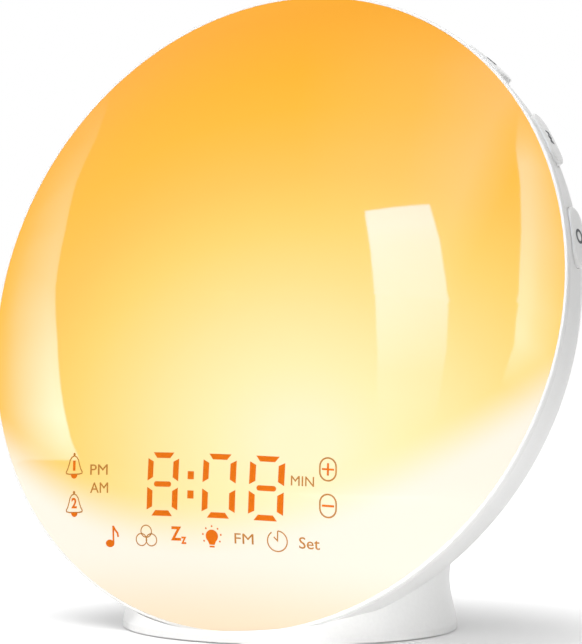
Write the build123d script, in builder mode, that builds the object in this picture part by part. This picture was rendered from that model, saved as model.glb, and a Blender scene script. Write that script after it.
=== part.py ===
"""Sunrise alarm clock: a leaning round lamp with a domed front diffuser, a shallow dished back
that flows into an oval stand, nine push keys around the upper rim, and a display behind the
lower part of the dome. Millimetres, +Z up, front towards -Y, origin at the middle of the foot."""
from build123d import *
import os
from math import asin, cos, radians, sin, sqrt

os.makedirs("parts", exist_ok=True)

# ---------------------------------------------------------------------------------------------
# Driving dimensions
# ---------------------------------------------------------------------------------------------
lean = radians(15)           # the lamp disc leans back from upright
disc_y = -12.3               # centre of the ring's front plane

ring_radius = 86.4           # bezel ring
ring_lip = 0.8
ring_depth = 1.8
ring_flange = 3.0

dome_rise = 18.5             # diffuser dome
dome_wall = 2.0
dome_seat = 1.0

shell_step = 0.1             # the shell is set in this far from the ring
wall = 2.2
back_depth = 31.0
corner_depth = 19.3          # where the side wall would meet the dished back
corner_taper = 2.4
corner_round = 14.0

foot_plane = 0.4             # underside of the foot, above the table
foot_web = 0.5               # plastic under the lowest point of the ring
foot_floor = 2.5             # thickness of the foot's floor
# stand sections: height, half width, half length, centre y
stand_sections = [
    (2.0, 45.0, 42.5, 0.0),
    (7.0, 43.9, 41.5, 0.0),
    (14.0, 43.6, 40.2, -0.8),
    (24.0, 46.5, 34.0, 0.5),
    (36.0, 47.5, 26.0, 3.0),
    (52.0, 44.0, 17.5, 4.5),
    (70.0, 35.0, 11.0, 3.5),
    (84.0, 28.0, 8.0, 2.0),
]

fit = 0.1                    # clearance between parts that are placed in each other
slide_gap = 0.2              # clearance around a moving key
board = 1.6                  # thickness of every circuit board

bowl_floor = 12.0            # depth of the reflector bowl's floor
bowl_rim = 26.4              # width of the bowl's sloping rim
bowl_wall = 1.6

key_count = 9
key_pitch = 19.0             # degrees
key_length = 16.0
key_width = 7.0
key_depth = 7.5              # centre of the keys behind the ring's front plane
key_stand = 0.4              # the key faces stand this far outside the ring
key_tab = 1.2                # tabs that hold a key in the shell
key_tab_side = 1.6
key_tab_width = 4.0
key_tab_gap = 2.1            # from the shell's inside to the tabs, at the front edge
key_travel = 0.6
stem_radius = 1.5
stem_length = 1.2
plunger_radius = 1.2
plunger_length = 2.6
plunger_show = 1.4
plunger_gap = 0.07
switch_width = 6.0
switch_length = 3.8
switch_front = 6.4
key_board_depth = 10.2
key_board_band = 11.6
key_board_reach = 84.0       # degrees each side of the top

display_x = -7.0             # display block, in the disc's own x and up directions
display_up = -53.0
display_width = 92.0
display_height = 34.0
display_limit = 77.0
display_back = 2.2
mask_film = 0.3
foam = 0.85
digit_x = (-14.6, 3.6, 16.4)
digit_up = -49.5
digit_width = 11.0
digit_height = 15.0
colon_x = -5.2

speaker_up = 20.0
speaker_radius = 20.0
speaker_room = 4.4           # from the speaker's flange to the inside of the back
speaker_flange = 0.8
speaker_screw_circle = 18.6
speaker_shank = 0.7
speaker_screw_bite = 2.0

main_board_up = -31.0
main_board_width = 76.0
main_board_height = 44.0
main_board_depth = 19.0

case_screw_turns = (-39, 39, -111, 111)  # degrees from the top
screw_shank = 1.2
screw_gap = 0.05

plate_y = 4.0
plate_half_x = 32.0
plate_half_y = 26.0
plate_thick = 1.5
plate_ledge = 3.0
pad_spots = ((-24.0, -26.0), (24.0, -26.0), (-26.0, 26.0), (26.0, 26.0))
pad_radius = 4.0
pad_pocket = 0.6

door_radius = 12.0
door_lug = 1.5
cell_radius = 10.0
cell_height = 3.2

jack_z = 12.0
jack_face = 36.0
jack_radius = 4.0

# ---------------------------------------------------------------------------------------------
# Sizes that follow
# ---------------------------------------------------------------------------------------------
disc_z = foot_plane + foot_web + ring_radius * cos(lean) + ring_depth * sin(lean)
shell_radius = ring_radius - shell_step
corner_radius = shell_radius + shell_step - corner_taper

key_face = ring_radius + key_stand
key_inner = shell_radius - wall - key_tab_gap
plunger_tip = key_inner - key_tab - stem_length
switch_outer = plunger_tip - plunger_show
switch_inner = switch_outer - switch_length
key_board_outer = switch_outer + 0.4
key_board_inner = key_board_outer - key_board_band
key_board_middle = (key_board_outer + key_board_inner) / 2

bowl_floor_radius = ring_radius - bowl_rim
bowl_flange_radius = shell_radius - wall - 4 * fit
bowl_back = bowl_floor + bowl_wall
speaker_flange_depth = back_depth - wall - speaker_room
speaker_seat_depth = speaker_flange_depth + speaker_flange


def around(radius, turns):
    """Points on a circle about the disc's axis, at these angles from the top."""
    return [(radius * sin(radians(turn)), radius * cos(radians(turn))) for turn in turns]


case_screw_spots = around(bowl_floor_radius + 1.5, case_screw_turns)

# ---------------------------------------------------------------------------------------------
# Planes and shared shapes
# ---------------------------------------------------------------------------------------------
disc = Plane(origin=(0, disc_y, disc_z), x_dir=(1, 0, 0), z_dir=(0, -cos(lean), sin(lean)))
disc_axis = Axis(disc.origin, disc.z_dir)
section = Plane(origin=disc.origin, x_dir=(1, 0, 0), z_dir=-disc.y_dir)


def behind(depth):
    """Plane parallel to the ring's front plane, this far behind it."""
    return disc.offset(-depth)


def rim_plane(angle):
    """Plane facing outward through the rim: x along the rim, y towards the back."""
    turn = radians(angle)
    outward = disc.x_dir * sin(turn) + disc.y_dir * cos(turn)
    along = disc.x_dir * cos(turn) - disc.y_dir * sin(turn)
    return Plane(origin=disc.origin - disc.z_dir * key_depth, x_dir=along, z_dir=outward)


def cap_radius(chord, rise):
    """Radius of the ball that rises this much over a circle of the given radius."""
    return (chord**2 + rise**2) / (2 * rise)


key_angles = [key_pitch * (k - (key_count - 1) / 2) for k in range(key_count)]

dome_radius = ring_radius - ring_lip - fit
dome_ball = cap_radius(dome_radius, dome_rise)
dome_middle = dome_rise - dome_ball
inner_ball = dome_ball - dome_wall
dome_land = sqrt(inner_ball**2 - (dome_seat + dome_middle) ** 2)

back_rise = back_depth - corner_depth
back_ball = cap_radius(corner_radius, back_rise)


def ball_point(ball, middle, radius):
    """Point of a dome profile at this distance from the disc's axis."""
    return (radius, middle + sqrt(ball**2 - radius**2))


def ball_profile(radius):
    """Half disc, to be turned into a ball about the dome's centre."""
    with BuildSketch(section) as half:
        with Locations((0, dome_middle)):
            Circle(radius)
        with Locations((-radius, dome_middle)):
            Rectangle(2 * radius, 2.1 * radius, mode=Mode.SUBTRACT)
    return half.sketch


def shell_profile(inset):
    """Outline of the dished back, set in by a wall thickness."""
    rim = (shell_radius - inset, -ring_depth)
    corner = (corner_radius - inset, -corner_depth + inset * 0.75)
    rise = back_rise - inset * 0.25
    ball = cap_radius(corner[0], rise)
    turn = asin(corner[0] / ball) / 2
    back = -back_depth + inset
    with BuildSketch(section) as outline:
        with BuildLine():
            Line((0, -ring_depth), rim)
            Line(rim, corner)
            ThreePointArc(corner, (ball * sin(turn), back + ball * (1 - cos(turn))), (0, back))
            Line((0, back), (0, -ring_depth))
        make_face()
        bend = outline.vertices().sort_by_distance((*corner, 0))[0]
        fillet(bend, corner_round - inset)
    return outline.sketch


def stand(inset, bottom):
    """Oval stand between the foot and the dished back, set in by a wall thickness."""
    with BuildPart() as body:
        for height, half_x, half_y, middle in stand_sections:
            level = max(height, bottom)
            with BuildSketch(Plane.XY.offset(level)):
                with Locations((0, middle)):
                    Ellipse(half_x - inset, half_y - inset)
        loft()
        height, half_x, half_y, middle = stand_sections[0]
        if bottom < height:
            with BuildSketch(Plane.XY.offset(bottom)):
                Ellipse(half_x - inset, half_y - inset)
            extrude(amount=height - bottom)
    return body.part


# ---------------------------------------------------------------------------------------------
# Front: diffuser dome and bezel ring
# ---------------------------------------------------------------------------------------------
with BuildPart() as front_diffuser:
    with BuildSketch(section):
        with BuildLine():
            Line((0, dome_rise - dome_wall), (0, dome_rise))
            ThreePointArc((0, dome_rise), ball_point(dome_ball, dome_middle, dome_radius / 2),
                          (dome_radius, 0))
            Polyline((dome_radius, 0), (dome_radius, -dome_seat), (dome_land, -dome_seat))
            ThreePointArc((dome_land, -dome_seat),
                          ball_point(inner_ball, dome_middle, dome_radius / 2),
                          (0, dome_rise - dome_wall))
        make_face()
    revolve(axis=disc_axis)
front_diffuser.part.label = "front_diffuser"
export_step(front_diffuser.part, "parts/front_diffuser.step")

ring_inner = ring_radius - ring_lip
with BuildPart() as bezel_ring:
    with BuildSketch(section) as ring_outline:
        with BuildLine():
            Polyline((ring_inner - ring_flange, -dome_seat), (ring_inner, -dome_seat), (ring_inner, 0),
                     (ring_radius, 0), (ring_radius, -ring_depth),
                     (ring_inner - ring_flange, -ring_depth), close=True)
        make_face()
        fillet(ring_outline.vertices().sort_by_distance((ring_radius, 0, 0))[0], ring_lip / 2)
    revolve(axis=disc_axis)
bezel_ring.part.label = "bezel_ring"
export_step(bezel_ring.part, "parts/bezel_ring.step")

# ---------------------------------------------------------------------------------------------
# Back shell: dished back, stand and foot in one moulding
# ---------------------------------------------------------------------------------------------
with BuildPart() as outer_body:
    add(shell_profile(0))
    revolve(axis=disc_axis)
    add(stand(0, foot_plane))
    with BuildSketch(behind(ring_depth)):
        Circle(ring_radius + fit)
    extrude(amount=ring_radius, mode=Mode.SUBTRACT)
    split(bisect_by=Plane.XY.offset(foot_plane), keep=Keep.TOP)

with BuildPart() as hollow:
    add(stand(wall, foot_plane + foot_floor))
    with BuildSketch(behind(ring_depth + wall)):
        Rectangle(3 * ring_radius, 3 * ring_radius)
    extrude(amount=ring_radius, mode=Mode.SUBTRACT)
    add(shell_profile(wall))
    revolve(axis=disc_axis)
    split(bisect_by=Plane.XY.offset(foot_plane + foot_floor), keep=Keep.TOP)

plate_top = foot_plane + plate_thick
opening_x = plate_half_x - plate_ledge
opening_y = plate_half_y - plate_ledge
base_screw_turns = (40, 140, 220, 320)
base_screw_spots = [
    (opening_x * cos(radians(turn)), plate_y + opening_y * sin(radians(turn)))
    for turn in base_screw_turns
]
base_boss_height = 7.0
jack_plane = Plane(origin=(0, jack_face, jack_z), x_dir=(1, 0, 0), z_dir=(0, 1, 0))
jack_boss = 5.0
case_boss_depth = 16.0
case_head_depth = 21.0

with BuildPart() as bosses:
    with BuildSketch(behind(speaker_seat_depth)):
        with Locations((0, speaker_up)):
            Circle(speaker_radius + 0.6)
            Circle(speaker_radius - 2.5, mode=Mode.SUBTRACT)
    extrude(amount=-back_depth / 3)
    with BuildSketch(behind(case_boss_depth)):
        with Locations(*case_screw_spots):
            Circle(3.6)
    extrude(amount=-back_depth / 2)
    with BuildSketch(Plane.XY.offset(plate_top)):
        with Locations(*base_screw_spots):
            Circle(3.2)
    extrude(amount=base_boss_height)
    with BuildSketch(jack_plane.offset(-jack_boss)):
        Circle(8.0)
    extrude(amount=3 * jack_boss)
    add(outer_body.part, mode=Mode.INTERSECT)

grille_slots = 7
grille_pitch = 4.0
grille_slot_width = 2.0
grille_radius = speaker_radius - 4.0
head_radius = 2.4

with BuildPart() as back_shell:
    add(outer_body.part)
    add(hollow.part, mode=Mode.SUBTRACT)
    add(bosses.part)
    # screw holes from the back, with sunk heads
    with BuildSketch(behind(back_depth + wall)):
        with Locations(*case_screw_spots):
            Circle(head_radius + 3 * fit)
    extrude(amount=back_depth + wall - case_head_depth, mode=Mode.SUBTRACT)
    with BuildSketch(behind(back_depth)):
        with Locations(*case_screw_spots):
            Circle(screw_shank + fit)
    extrude(amount=back_depth - case_boss_depth + wall, mode=Mode.SUBTRACT)
    # speaker grille
    with BuildSketch(behind(back_depth + wall)):
        for k in range(grille_slots):
            rise = grille_pitch * (k - (grille_slots - 1) / 2)
            with Locations((0, speaker_up + rise)):
                SlotOverall(2 * sqrt(grille_radius**2 - rise**2), grille_slot_width)
    extrude(amount=back_depth + wall - speaker_seat_depth, mode=Mode.SUBTRACT)
    with BuildSketch(behind(speaker_seat_depth)):
        with Locations((0, speaker_up)):
            with PolarLocations(speaker_screw_circle, 4, start_angle=45):
                Circle(speaker_shank + screw_gap)
    extrude(amount=-speaker_screw_bite, mode=Mode.SUBTRACT)
    # slots for the rim keys
    for angle in key_angles:
        with BuildSketch(rim_plane(angle).offset(key_inner - 3 * wall)):
            SlotOverall(key_length + 2 * slide_gap, key_width + 2 * slide_gap)
        extrude(amount=6 * wall, mode=Mode.SUBTRACT)
    # power inlet: flat recess and round hole
    with BuildSketch(jack_plane):
        Circle(jack_radius + wall)
    extrude(amount=3 * jack_boss, mode=Mode.SUBTRACT)
    with BuildSketch(jack_plane):
        Circle(jack_radius + fit)
    extrude(amount=-2 * jack_boss, mode=Mode.SUBTRACT)
    # underside: rebate and opening for the base plate, screw holes, pad pockets
    with BuildSketch(Plane.XY.offset(-foot_floor)):
        with Locations((0, plate_y)):
            Ellipse(plate_half_x + fit, plate_half_y + fit)
    extrude(amount=foot_floor + plate_top, mode=Mode.SUBTRACT)
    with BuildSketch(Plane.XY.offset(plate_top)):
        with Locations((0, plate_y)):
            Ellipse(opening_x, opening_y)
        with Locations(*base_screw_spots):
            Circle(3.2, mode=Mode.SUBTRACT)
    extrude(amount=foot_floor, mode=Mode.SUBTRACT)
    with BuildSketch(Plane.XY.offset(plate_top)):
        with Locations(*base_screw_spots):
            Circle(screw_shank + screw_gap)
    extrude(amount=base_boss_height - wall / 2, mode=Mode.SUBTRACT)
    with BuildSketch(Plane.XY.offset(-foot_floor)):
        with Locations(*pad_spots):
            Circle(pad_radius + fit)
    extrude(amount=foot_floor + foot_plane + pad_pocket, mode=Mode.SUBTRACT)
back_shell.part.label = "back_shell"
export_step(back_shell.part, "parts/back_shell.step")

# ---------------------------------------------------------------------------------------------
# Inner frame: reflector bowl with the posts that carry the boards
# ---------------------------------------------------------------------------------------------
bowl_knee = (ring_radius - 16.4, 5.0)       # radius, depth where the cone meets the shoulder
bowl_shoulder = (ring_radius - 6.4, 3.4)
display_posts = ((-38.0, -42.0), (24.0, -42.0), (-26.6, -64.0), (15.1, -64.0))
post_inset = 4.0
main_post_x = main_board_width / 2 - post_inset
main_post_y = main_board_height / 2 - post_inset
main_posts = [
    (x, main_board_up + y) for x in (-main_post_x, main_post_x) for y in (-main_post_y, main_post_y)
]
key_posts = around(key_board_inner + 4, (-66.5, -28.5, 28.5, 66.5))
ribbon_up = -48.0
ribbon_width = 20.0
pilot = screw_shank + screw_gap

with BuildPart() as reflector_bowl:
    with BuildSketch(section):
        with BuildLine():
            Polyline(
                (0, -bowl_floor), (bowl_floor_radius, -bowl_floor), (bowl_knee[0], -bowl_knee[1]),
                (bowl_shoulder[0], -bowl_shoulder[1]), (bowl_shoulder[0], -ring_depth),
                (bowl_flange_radius, -ring_depth), (bowl_flange_radius, -ring_depth - bowl_wall),
                (bowl_shoulder[0] + 1.2, -ring_depth - bowl_wall),
                (bowl_shoulder[0] + 0.2, -bowl_shoulder[1] - bowl_wall),
                (bowl_knee[0] + 0.9, -bowl_knee[1] - bowl_wall),
                (bowl_floor_radius + 0.9, -bowl_back), (0, -bowl_back), close=True)
        make_face()
    revolve(axis=disc_axis)
    # posts behind the bowl for the case screws, the main board and the key board
    for spots, end_depth, radius, root_depth in (
        (case_screw_spots, case_boss_depth, 3.0, bowl_floor + 0.5),
        (main_posts, main_board_depth, 2.6, bowl_floor + 0.5),
        (key_posts, key_board_depth, 2.2, bowl_knee[1] + 0.6),
    ):
        with BuildSketch(behind(end_depth)):
            with Locations(*spots):
                Circle(radius)
        extrude(amount=end_depth - root_depth)
    # posts in front of the bowl for the display board
    with BuildSketch(behind(display_back + board)):
        with Locations(*display_posts):
            Circle(2.6)
    extrude(amount=-(bowl_back - display_back - board))
    # pilot holes
    for spots, end_depth, length in (
        (case_screw_spots, case_boss_depth, 3.2),
        (main_posts, main_board_depth, 5.0),
        (key_posts, key_board_depth, 3.0),
    ):
        with BuildSketch(behind(end_depth)):
            with Locations(*spots):
                Circle(pilot)
        extrude(amount=length, mode=Mode.SUBTRACT)
    with BuildSketch(behind(display_back + board)):
        with Locations(*display_posts):
            Circle(pilot)
    extrude(amount=-bowl_back, mode=Mode.SUBTRACT)
    # slot for the display ribbon and hole for the light board's wires
    with BuildSketch(behind(bowl_back + 1)):
        with Locations((display_x, ribbon_up)):
            Rectangle(ribbon_width + 3, 3)
        with Locations((0, -22)):
            Rectangle(12, 3)
    extrude(amount=3 * bowl_wall, mode=Mode.SUBTRACT)
reflector_bowl.part.label = "reflector_bowl"
export_step(reflector_bowl.part, "parts/reflector_bowl.step")

# ---------------------------------------------------------------------------------------------
# Light board and its lights
# ---------------------------------------------------------------------------------------------
light_cut_up = -34.0
light_rings = ((16.0, 6), (32.0, 12), (48.0, 18))
light_spots = [
    (radius * cos(radians(360 * k / count)), radius * sin(radians(360 * k / count)))
    for radius, count in light_rings
    for k in range(count)
    if radius * sin(radians(360 * k / count)) > light_cut_up + 6
]
light_size = 3.0
light_height = 0.8
with BuildPart() as led_board:
    with BuildSketch(behind(bowl_floor)):
        Circle(bowl_floor_radius - 3)
        with Locations((0, light_cut_up - bowl_floor_radius / 2)):
            Rectangle(2 * bowl_floor_radius, bowl_floor_radius, mode=Mode.SUBTRACT)
        with Locations(*case_screw_spots):
            Circle(5, mode=Mode.SUBTRACT)
    extrude(amount=board)
led_board.part.label = "led_board"
export_step(led_board.part, "parts/led_board.step")

with BuildPart() as light_leds:
    with BuildSketch(behind(bowl_floor - board)):
        with Locations(*light_spots):
            Rectangle(light_size, light_size)
    extrude(amount=light_height)
light_leds.part.label = "light_leds"
export_step(light_leds.part, "parts/light_leds.step")

with BuildPart() as light_wires:
    with BuildSketch(behind(main_board_depth)):
        with Locations((-3, -22), (0, -22), (3, -22)):
            Circle(0.6)
    extrude(amount=main_board_depth - bowl_floor)
light_wires.part.label = "light_wires"
export_step(light_wires.part, "parts/light_wires.step")

# ---------------------------------------------------------------------------------------------
# Display: mask film, foam gasket, housing with light wells, board and lights
# ---------------------------------------------------------------------------------------------
# light wells: centre x, centre up, width, height
icon_wells = (
    (-46.5, -47.0, 7.0, 7.0), (-45.5, -56.5, 7.0, 7.0),
    (-36.0, -49.5, 8.0, 10.0), (26.5, -49.5, 7.5, 4.0),
    (34.0, -44.5, 6.0, 6.5), (34.0, -53.5, 6.0, 6.5),
    (-31.0, -64.0, 5.5, 6.5), (-21.0, -64.0, 8.0, 6.5), (-9.5, -64.0, 7.0, 6.5),
    (0.5, -64.0, 7.0, 6.5), (10.0, -64.0, 7.0, 5.0), (20.0, -63.0, 6.5, 6.5),
    (29.0, -63.0, 8.0, 5.0),
)
digit_wells = [(x, digit_up, digit_width, digit_height) for x in digit_x]
wells = [*icon_wells, *digit_wells, (colon_x, digit_up, 3.0, 10.0)]


def display_outline(inset):
    """Block outline of the display, kept inside the lamp's round body."""
    with BuildSketch(Plane.XY) as outline:
        with Locations((display_x, display_up)):
            Rectangle(display_width - 2 * inset, display_height - 2 * inset)
        Circle(display_limit - inset, mode=Mode.INTERSECT)
    return outline.sketch


def display_layer(outer_ball, inner_ball_radius, inset, frame):
    """Layer of the display that follows the dome, as a film or as a frame."""
    with BuildPart() as layer:
        with BuildSketch(disc):
            add(display_outline(inset))
            if frame:
                add(display_outline(inset + frame), mode=Mode.SUBTRACT)
        extrude(amount=dome_rise)
        with BuildPart(mode=Mode.PRIVATE) as band:
            add(ball_profile(outer_ball))
            revolve(axis=disc_axis)
            add(ball_profile(inner_ball_radius))
            revolve(axis=disc_axis, mode=Mode.SUBTRACT)
        add(band.part, mode=Mode.INTERSECT)
    return layer.part


mask_outer = inner_ball - fit / 2
mask_inner = mask_outer - mask_film
housing_ball = mask_inner - foam
gasket_width = 1.6

with BuildPart() as display_mask:
    add(display_layer(mask_outer, mask_inner, 0, 0))
display_mask.part.label = "display_mask"
export_step(display_mask.part, "parts/display_mask.step")

with BuildPart() as display_gasket:
    add(display_layer(mask_inner, housing_ball, 0, gasket_width))
display_gasket.part.label = "display_gasket"
export_step(display_gasket.part, "parts/display_gasket.step")

with BuildPart() as housing_limit:
    add(ball_profile(housing_ball))
    revolve(axis=disc_axis)

with BuildPart() as display_housing:
    with BuildSketch(behind(display_back)):
        add(display_outline(0))
    extrude(amount=dome_rise + display_back)
    add(housing_limit.part, mode=Mode.INTERSECT)
    with BuildSketch(behind(display_back)):
        for x, up, width, height in wells:
            with Locations((x, up)):
                Rectangle(width, height)
    extrude(amount=dome_rise + display_back, mode=Mode.SUBTRACT)
    with BuildSketch(behind(display_back)):
        with Locations(*display_posts):
            Circle(pilot)
    extrude(amount=2.4, mode=Mode.SUBTRACT)
display_housing.part.label = "display_housing"
export_step(display_housing.part, "parts/display_housing.step")

with BuildPart() as display_board:
    with BuildSketch(behind(display_back + board)):
        add(display_outline(fit))
        with Locations(*display_posts):
            Circle(pilot + fit, mode=Mode.SUBTRACT)
    extrude(amount=board)
display_board.part.label = "display_board"
export_step(display_board.part, "parts/display_board.step")

chip_led = (2.0, 1.2, 0.8)    # width, length, height of one display light
segment_x = digit_width / 2 - 2.0
segment_up = digit_height / 2 - 2.0
segments = (
    (0, segment_up), (0, 0), (0, -segment_up),
    (-segment_x, segment_up / 2), (segment_x, segment_up / 2),
    (-segment_x, -segment_up / 2), (segment_x, -segment_up / 2),
)
display_spots = [(x + dx, digit_up + dy) for x in digit_x for dx, dy in segments]
display_spots += [(x, up) for x, up, width, height in icon_wells]
display_spots += [(colon_x, digit_up + 3), (colon_x, digit_up - 3)]
with BuildPart() as display_leds:
    with BuildSketch(behind(display_back)):
        with Locations(*display_spots):
            Rectangle(chip_led[0], chip_led[1])
    extrude(amount=chip_led[2])
display_leds.part.label = "display_leds"
export_step(display_leds.part, "parts/display_leds.step")

ribbon_plug = 2.6
with BuildPart() as display_ribbon:
    with BuildSketch(behind(main_board_depth - ribbon_plug)):
        with Locations((display_x, ribbon_up)):
            Rectangle(ribbon_width, 0.3)
    extrude(amount=main_board_depth - 2 * ribbon_plug - display_back - board)
display_ribbon.part.label = "display_ribbon"
export_step(display_ribbon.part, "parts/display_ribbon.step")

# ---------------------------------------------------------------------------------------------
# Main board with its components
# ---------------------------------------------------------------------------------------------
main_back = main_board_depth + board
with BuildPart() as main_board:
    with BuildSketch(behind(main_back)):
        with Locations((0, main_board_up)):
            RectangleRounded(main_board_width, main_board_height, 2)
        with Locations(*main_posts):
            Circle(pilot + fit, mode=Mode.SUBTRACT)
    extrude(amount=board)
main_board.part.label = "main_board"
export_step(main_board.part, "parts/main_board.step")

with BuildPart() as board_chips:
    with BuildSketch(behind(main_board_depth)):
        with Locations((14, -36)):
            Rectangle(10, 10)
        with Locations((26, -26)):
            Rectangle(5, 6)
        with Locations((-18, -34)):
            Rectangle(6, 8)
    extrude(amount=1.6)
board_chips.part.label = "board_chips"
export_step(board_chips.part, "parts/board_chips.step")

with BuildPart() as board_capacitors:
    with BuildSketch(behind(main_back)):
        with Locations((-22, -38), (-10, -38)):
            Circle(2.5)
    extrude(amount=-3.2)
board_capacitors.part.label = "board_capacitors"
export_step(board_capacitors.part, "parts/board_capacitors.step")

plug_back = ((-26, -14, 7, 4), (24, -45, 7, 4), (34, -30, 4, 9))
with BuildPart() as board_connectors:
    with BuildSketch(behind(main_board_depth)):
        with Locations((display_x, ribbon_up)):
            Rectangle(ribbon_width + 2, 2.4)
    extrude(amount=ribbon_plug)
    with BuildSketch(behind(display_back + board)):
        with Locations((display_x, ribbon_up)):
            Rectangle(ribbon_width + 2, 2.4)
    extrude(amount=-ribbon_plug)
    with BuildSketch(behind(main_back)):
        for x, up, width, height in plug_back:
            with Locations((x, up)):
                Rectangle(width, height)
    extrude(amount=-2.8)
board_connectors.part.label = "board_connectors"
export_step(board_connectors.part, "parts/board_connectors.step")

# ---------------------------------------------------------------------------------------------
# Key board, switches and rim keys
# ---------------------------------------------------------------------------------------------
reach = radians(key_board_reach)
far = 2 * key_board_outer
with BuildPart() as key_board:
    with BuildSketch(behind(key_board_depth + board)):
        Circle(key_board_outer)
        Circle(key_board_inner, mode=Mode.SUBTRACT)
        with BuildLine():
            Polyline((0, 0), (-far * sin(reach), far * cos(reach)), (-far, -far), (far, -far),
                     (far * sin(reach), far * cos(reach)), close=True)
        make_face(mode=Mode.SUBTRACT)
        with Locations(*key_posts):
            Circle(pilot + fit, mode=Mode.SUBTRACT)
    extrude(amount=board)
key_board.part.label = "key_board"
export_step(key_board.part, "parts/key_board.step")

switch_height = key_board_depth - switch_front
switch_shift = (key_board_depth + switch_front) / 2 - key_depth
plunger_bore = plunger_tip - plunger_length - key_travel - slide_gap
with BuildPart() as key_switches:
    for angle in key_angles:
        side = rim_plane(angle)
        with BuildSketch(side.offset(switch_inner)):
            with Locations((0, switch_shift)):
                Rectangle(switch_width, switch_height)
        extrude(amount=switch_outer - switch_inner)
        with BuildSketch(side.offset(plunger_bore)):
            Circle(plunger_radius + plunger_gap)
        extrude(amount=key_inner - plunger_bore, mode=Mode.SUBTRACT)
key_switches.part.label = "key_switches"
export_step(key_switches.part, "parts/key_switches.step")

key_edge = 0.7
for k, angle in enumerate(key_angles, start=1):
    side = rim_plane(angle)
    with BuildPart() as switch_plunger:
        with BuildSketch(side.offset(plunger_tip - plunger_length)):
            Circle(plunger_radius)
        extrude(amount=plunger_length)
    switch_plunger.part.label = f"switch_plunger_{k}"
    export_step(switch_plunger.part, f"parts/switch_plunger_{k}.step")

    with BuildPart() as rim_key:
        with BuildSketch(behind(key_depth + key_width)):
            Circle(key_face)
        extrude(amount=2 * key_width)
        with BuildSketch(side.offset(key_inner)):
            SlotOverall(key_length, key_width)
        extrude(amount=2 * (key_face - key_inner), mode=Mode.INTERSECT)
        face = rim_key.faces().sort_by(Axis(side.origin, side.z_dir))[-1]
        fillet(face.edges(), key_edge)
        with BuildSketch(side.offset(key_inner - key_tab)):
            Rectangle(key_length + 2 * key_tab_side, key_tab_width)
        extrude(amount=key_tab)
        with BuildSketch(side.offset(plunger_tip)):
            Circle(stem_radius)
        extrude(amount=key_inner - plunger_tip)
    rim_key.part.label = f"rim_key_{k}"
    export_step(rim_key.part, f"parts/rim_key_{k}.step")

# ---------------------------------------------------------------------------------------------
# Speaker behind the grille
# ---------------------------------------------------------------------------------------------
speaker_origin = disc.from_local_coords((0, speaker_up, 0))
speaker_axis = Axis(speaker_origin, disc.z_dir)
speaker_section = Plane(origin=speaker_origin, x_dir=(1, 0, 0), z_dir=-disc.y_dir)
basket_floor = 20.0
basket_wall = 0.8
magnet_radius = 9.0
magnet_height = 4.4
former_radius = 4.0
cone_edge = 13.4
cone_wall = 0.4

with BuildPart() as speaker_basket:
    with BuildSketch(speaker_section):
        with BuildLine():
            Polyline(
                (speaker_radius, -speaker_seat_depth), (speaker_radius, -speaker_flange_depth),
                (cone_edge + 3.2, -speaker_flange_depth), (magnet_radius + 2, basket_wall - basket_floor),
                (former_radius, basket_wall - basket_floor), (former_radius, -basket_floor),
                (magnet_radius + 1.6, -basket_floor), (cone_edge + 2.8, -speaker_seat_depth), close=True)
        make_face()
    revolve(axis=speaker_axis)
    with BuildSketch(behind(speaker_seat_depth)):
        with Locations((0, speaker_up)):
            with PolarLocations(speaker_screw_circle, 4, start_angle=45):
                Circle(speaker_shank + fit)
    extrude(amount=speaker_flange, mode=Mode.SUBTRACT)
speaker_basket.part.label = "speaker_basket"
export_step(speaker_basket.part, "parts/speaker_basket.step")

with BuildPart() as speaker_magnet:
    with BuildSketch(behind(basket_floor - basket_wall)):
        with Locations((0, speaker_up)):
            Circle(magnet_radius)
    extrude(amount=magnet_height)
    chamfer(speaker_magnet.edges(), 0.4)
speaker_magnet.part.label = "speaker_magnet"
export_step(speaker_magnet.part, "parts/speaker_magnet.step")

cone_top = speaker_seat_depth - cone_wall
cone_root = basket_floor + 1.2
with BuildPart() as speaker_cone:
    with BuildSketch(speaker_section):
        with BuildLine():
            Polyline(
                (former_radius - cone_wall, 0.4 - basket_floor), (former_radius, 0.4 - basket_floor),
                (former_radius, -cone_root), (cone_edge, -cone_top), (cone_edge, -speaker_seat_depth),
                (former_radius, -cone_root - cone_wall),
                (former_radius - cone_wall, -cone_root - cone_wall), close=True)
        make_face()
    revolve(axis=speaker_axis)
speaker_cone.part.label = "speaker_cone"
export_step(speaker_cone.part, "parts/speaker_cone.step")

with BuildPart() as speaker_surround:
    with BuildSketch(behind(speaker_seat_depth)):
        with Locations((0, speaker_up)):
            Circle(speaker_radius - 2.7)
            Circle(cone_edge - 1, mode=Mode.SUBTRACT)
    extrude(amount=-0.5)
speaker_surround.part.label = "speaker_surround"
export_step(speaker_surround.part, "parts/speaker_surround.step")

cap_base = cone_root + cone_wall
cap_rise = 1.5
cap_ball = cap_radius(former_radius, cap_rise)
cap_half = former_radius / 2
cap_mid = (cap_half, cap_ball - cap_base - cap_rise - sqrt(cap_ball**2 - cap_half**2))
with BuildPart() as dust_cap:
    with BuildSketch(speaker_section):
        with BuildLine():
            Line((0, -cap_base), (former_radius, -cap_base))
            ThreePointArc((former_radius, -cap_base), cap_mid, (0, -cap_base - cap_rise))
            Line((0, -cap_base - cap_rise), (0, -cap_base))
        make_face()
    revolve(axis=speaker_axis)
dust_cap.part.label = "dust_cap"
export_step(dust_cap.part, "parts/dust_cap.step")

# ---------------------------------------------------------------------------------------------
# Screws
# ---------------------------------------------------------------------------------------------


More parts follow.
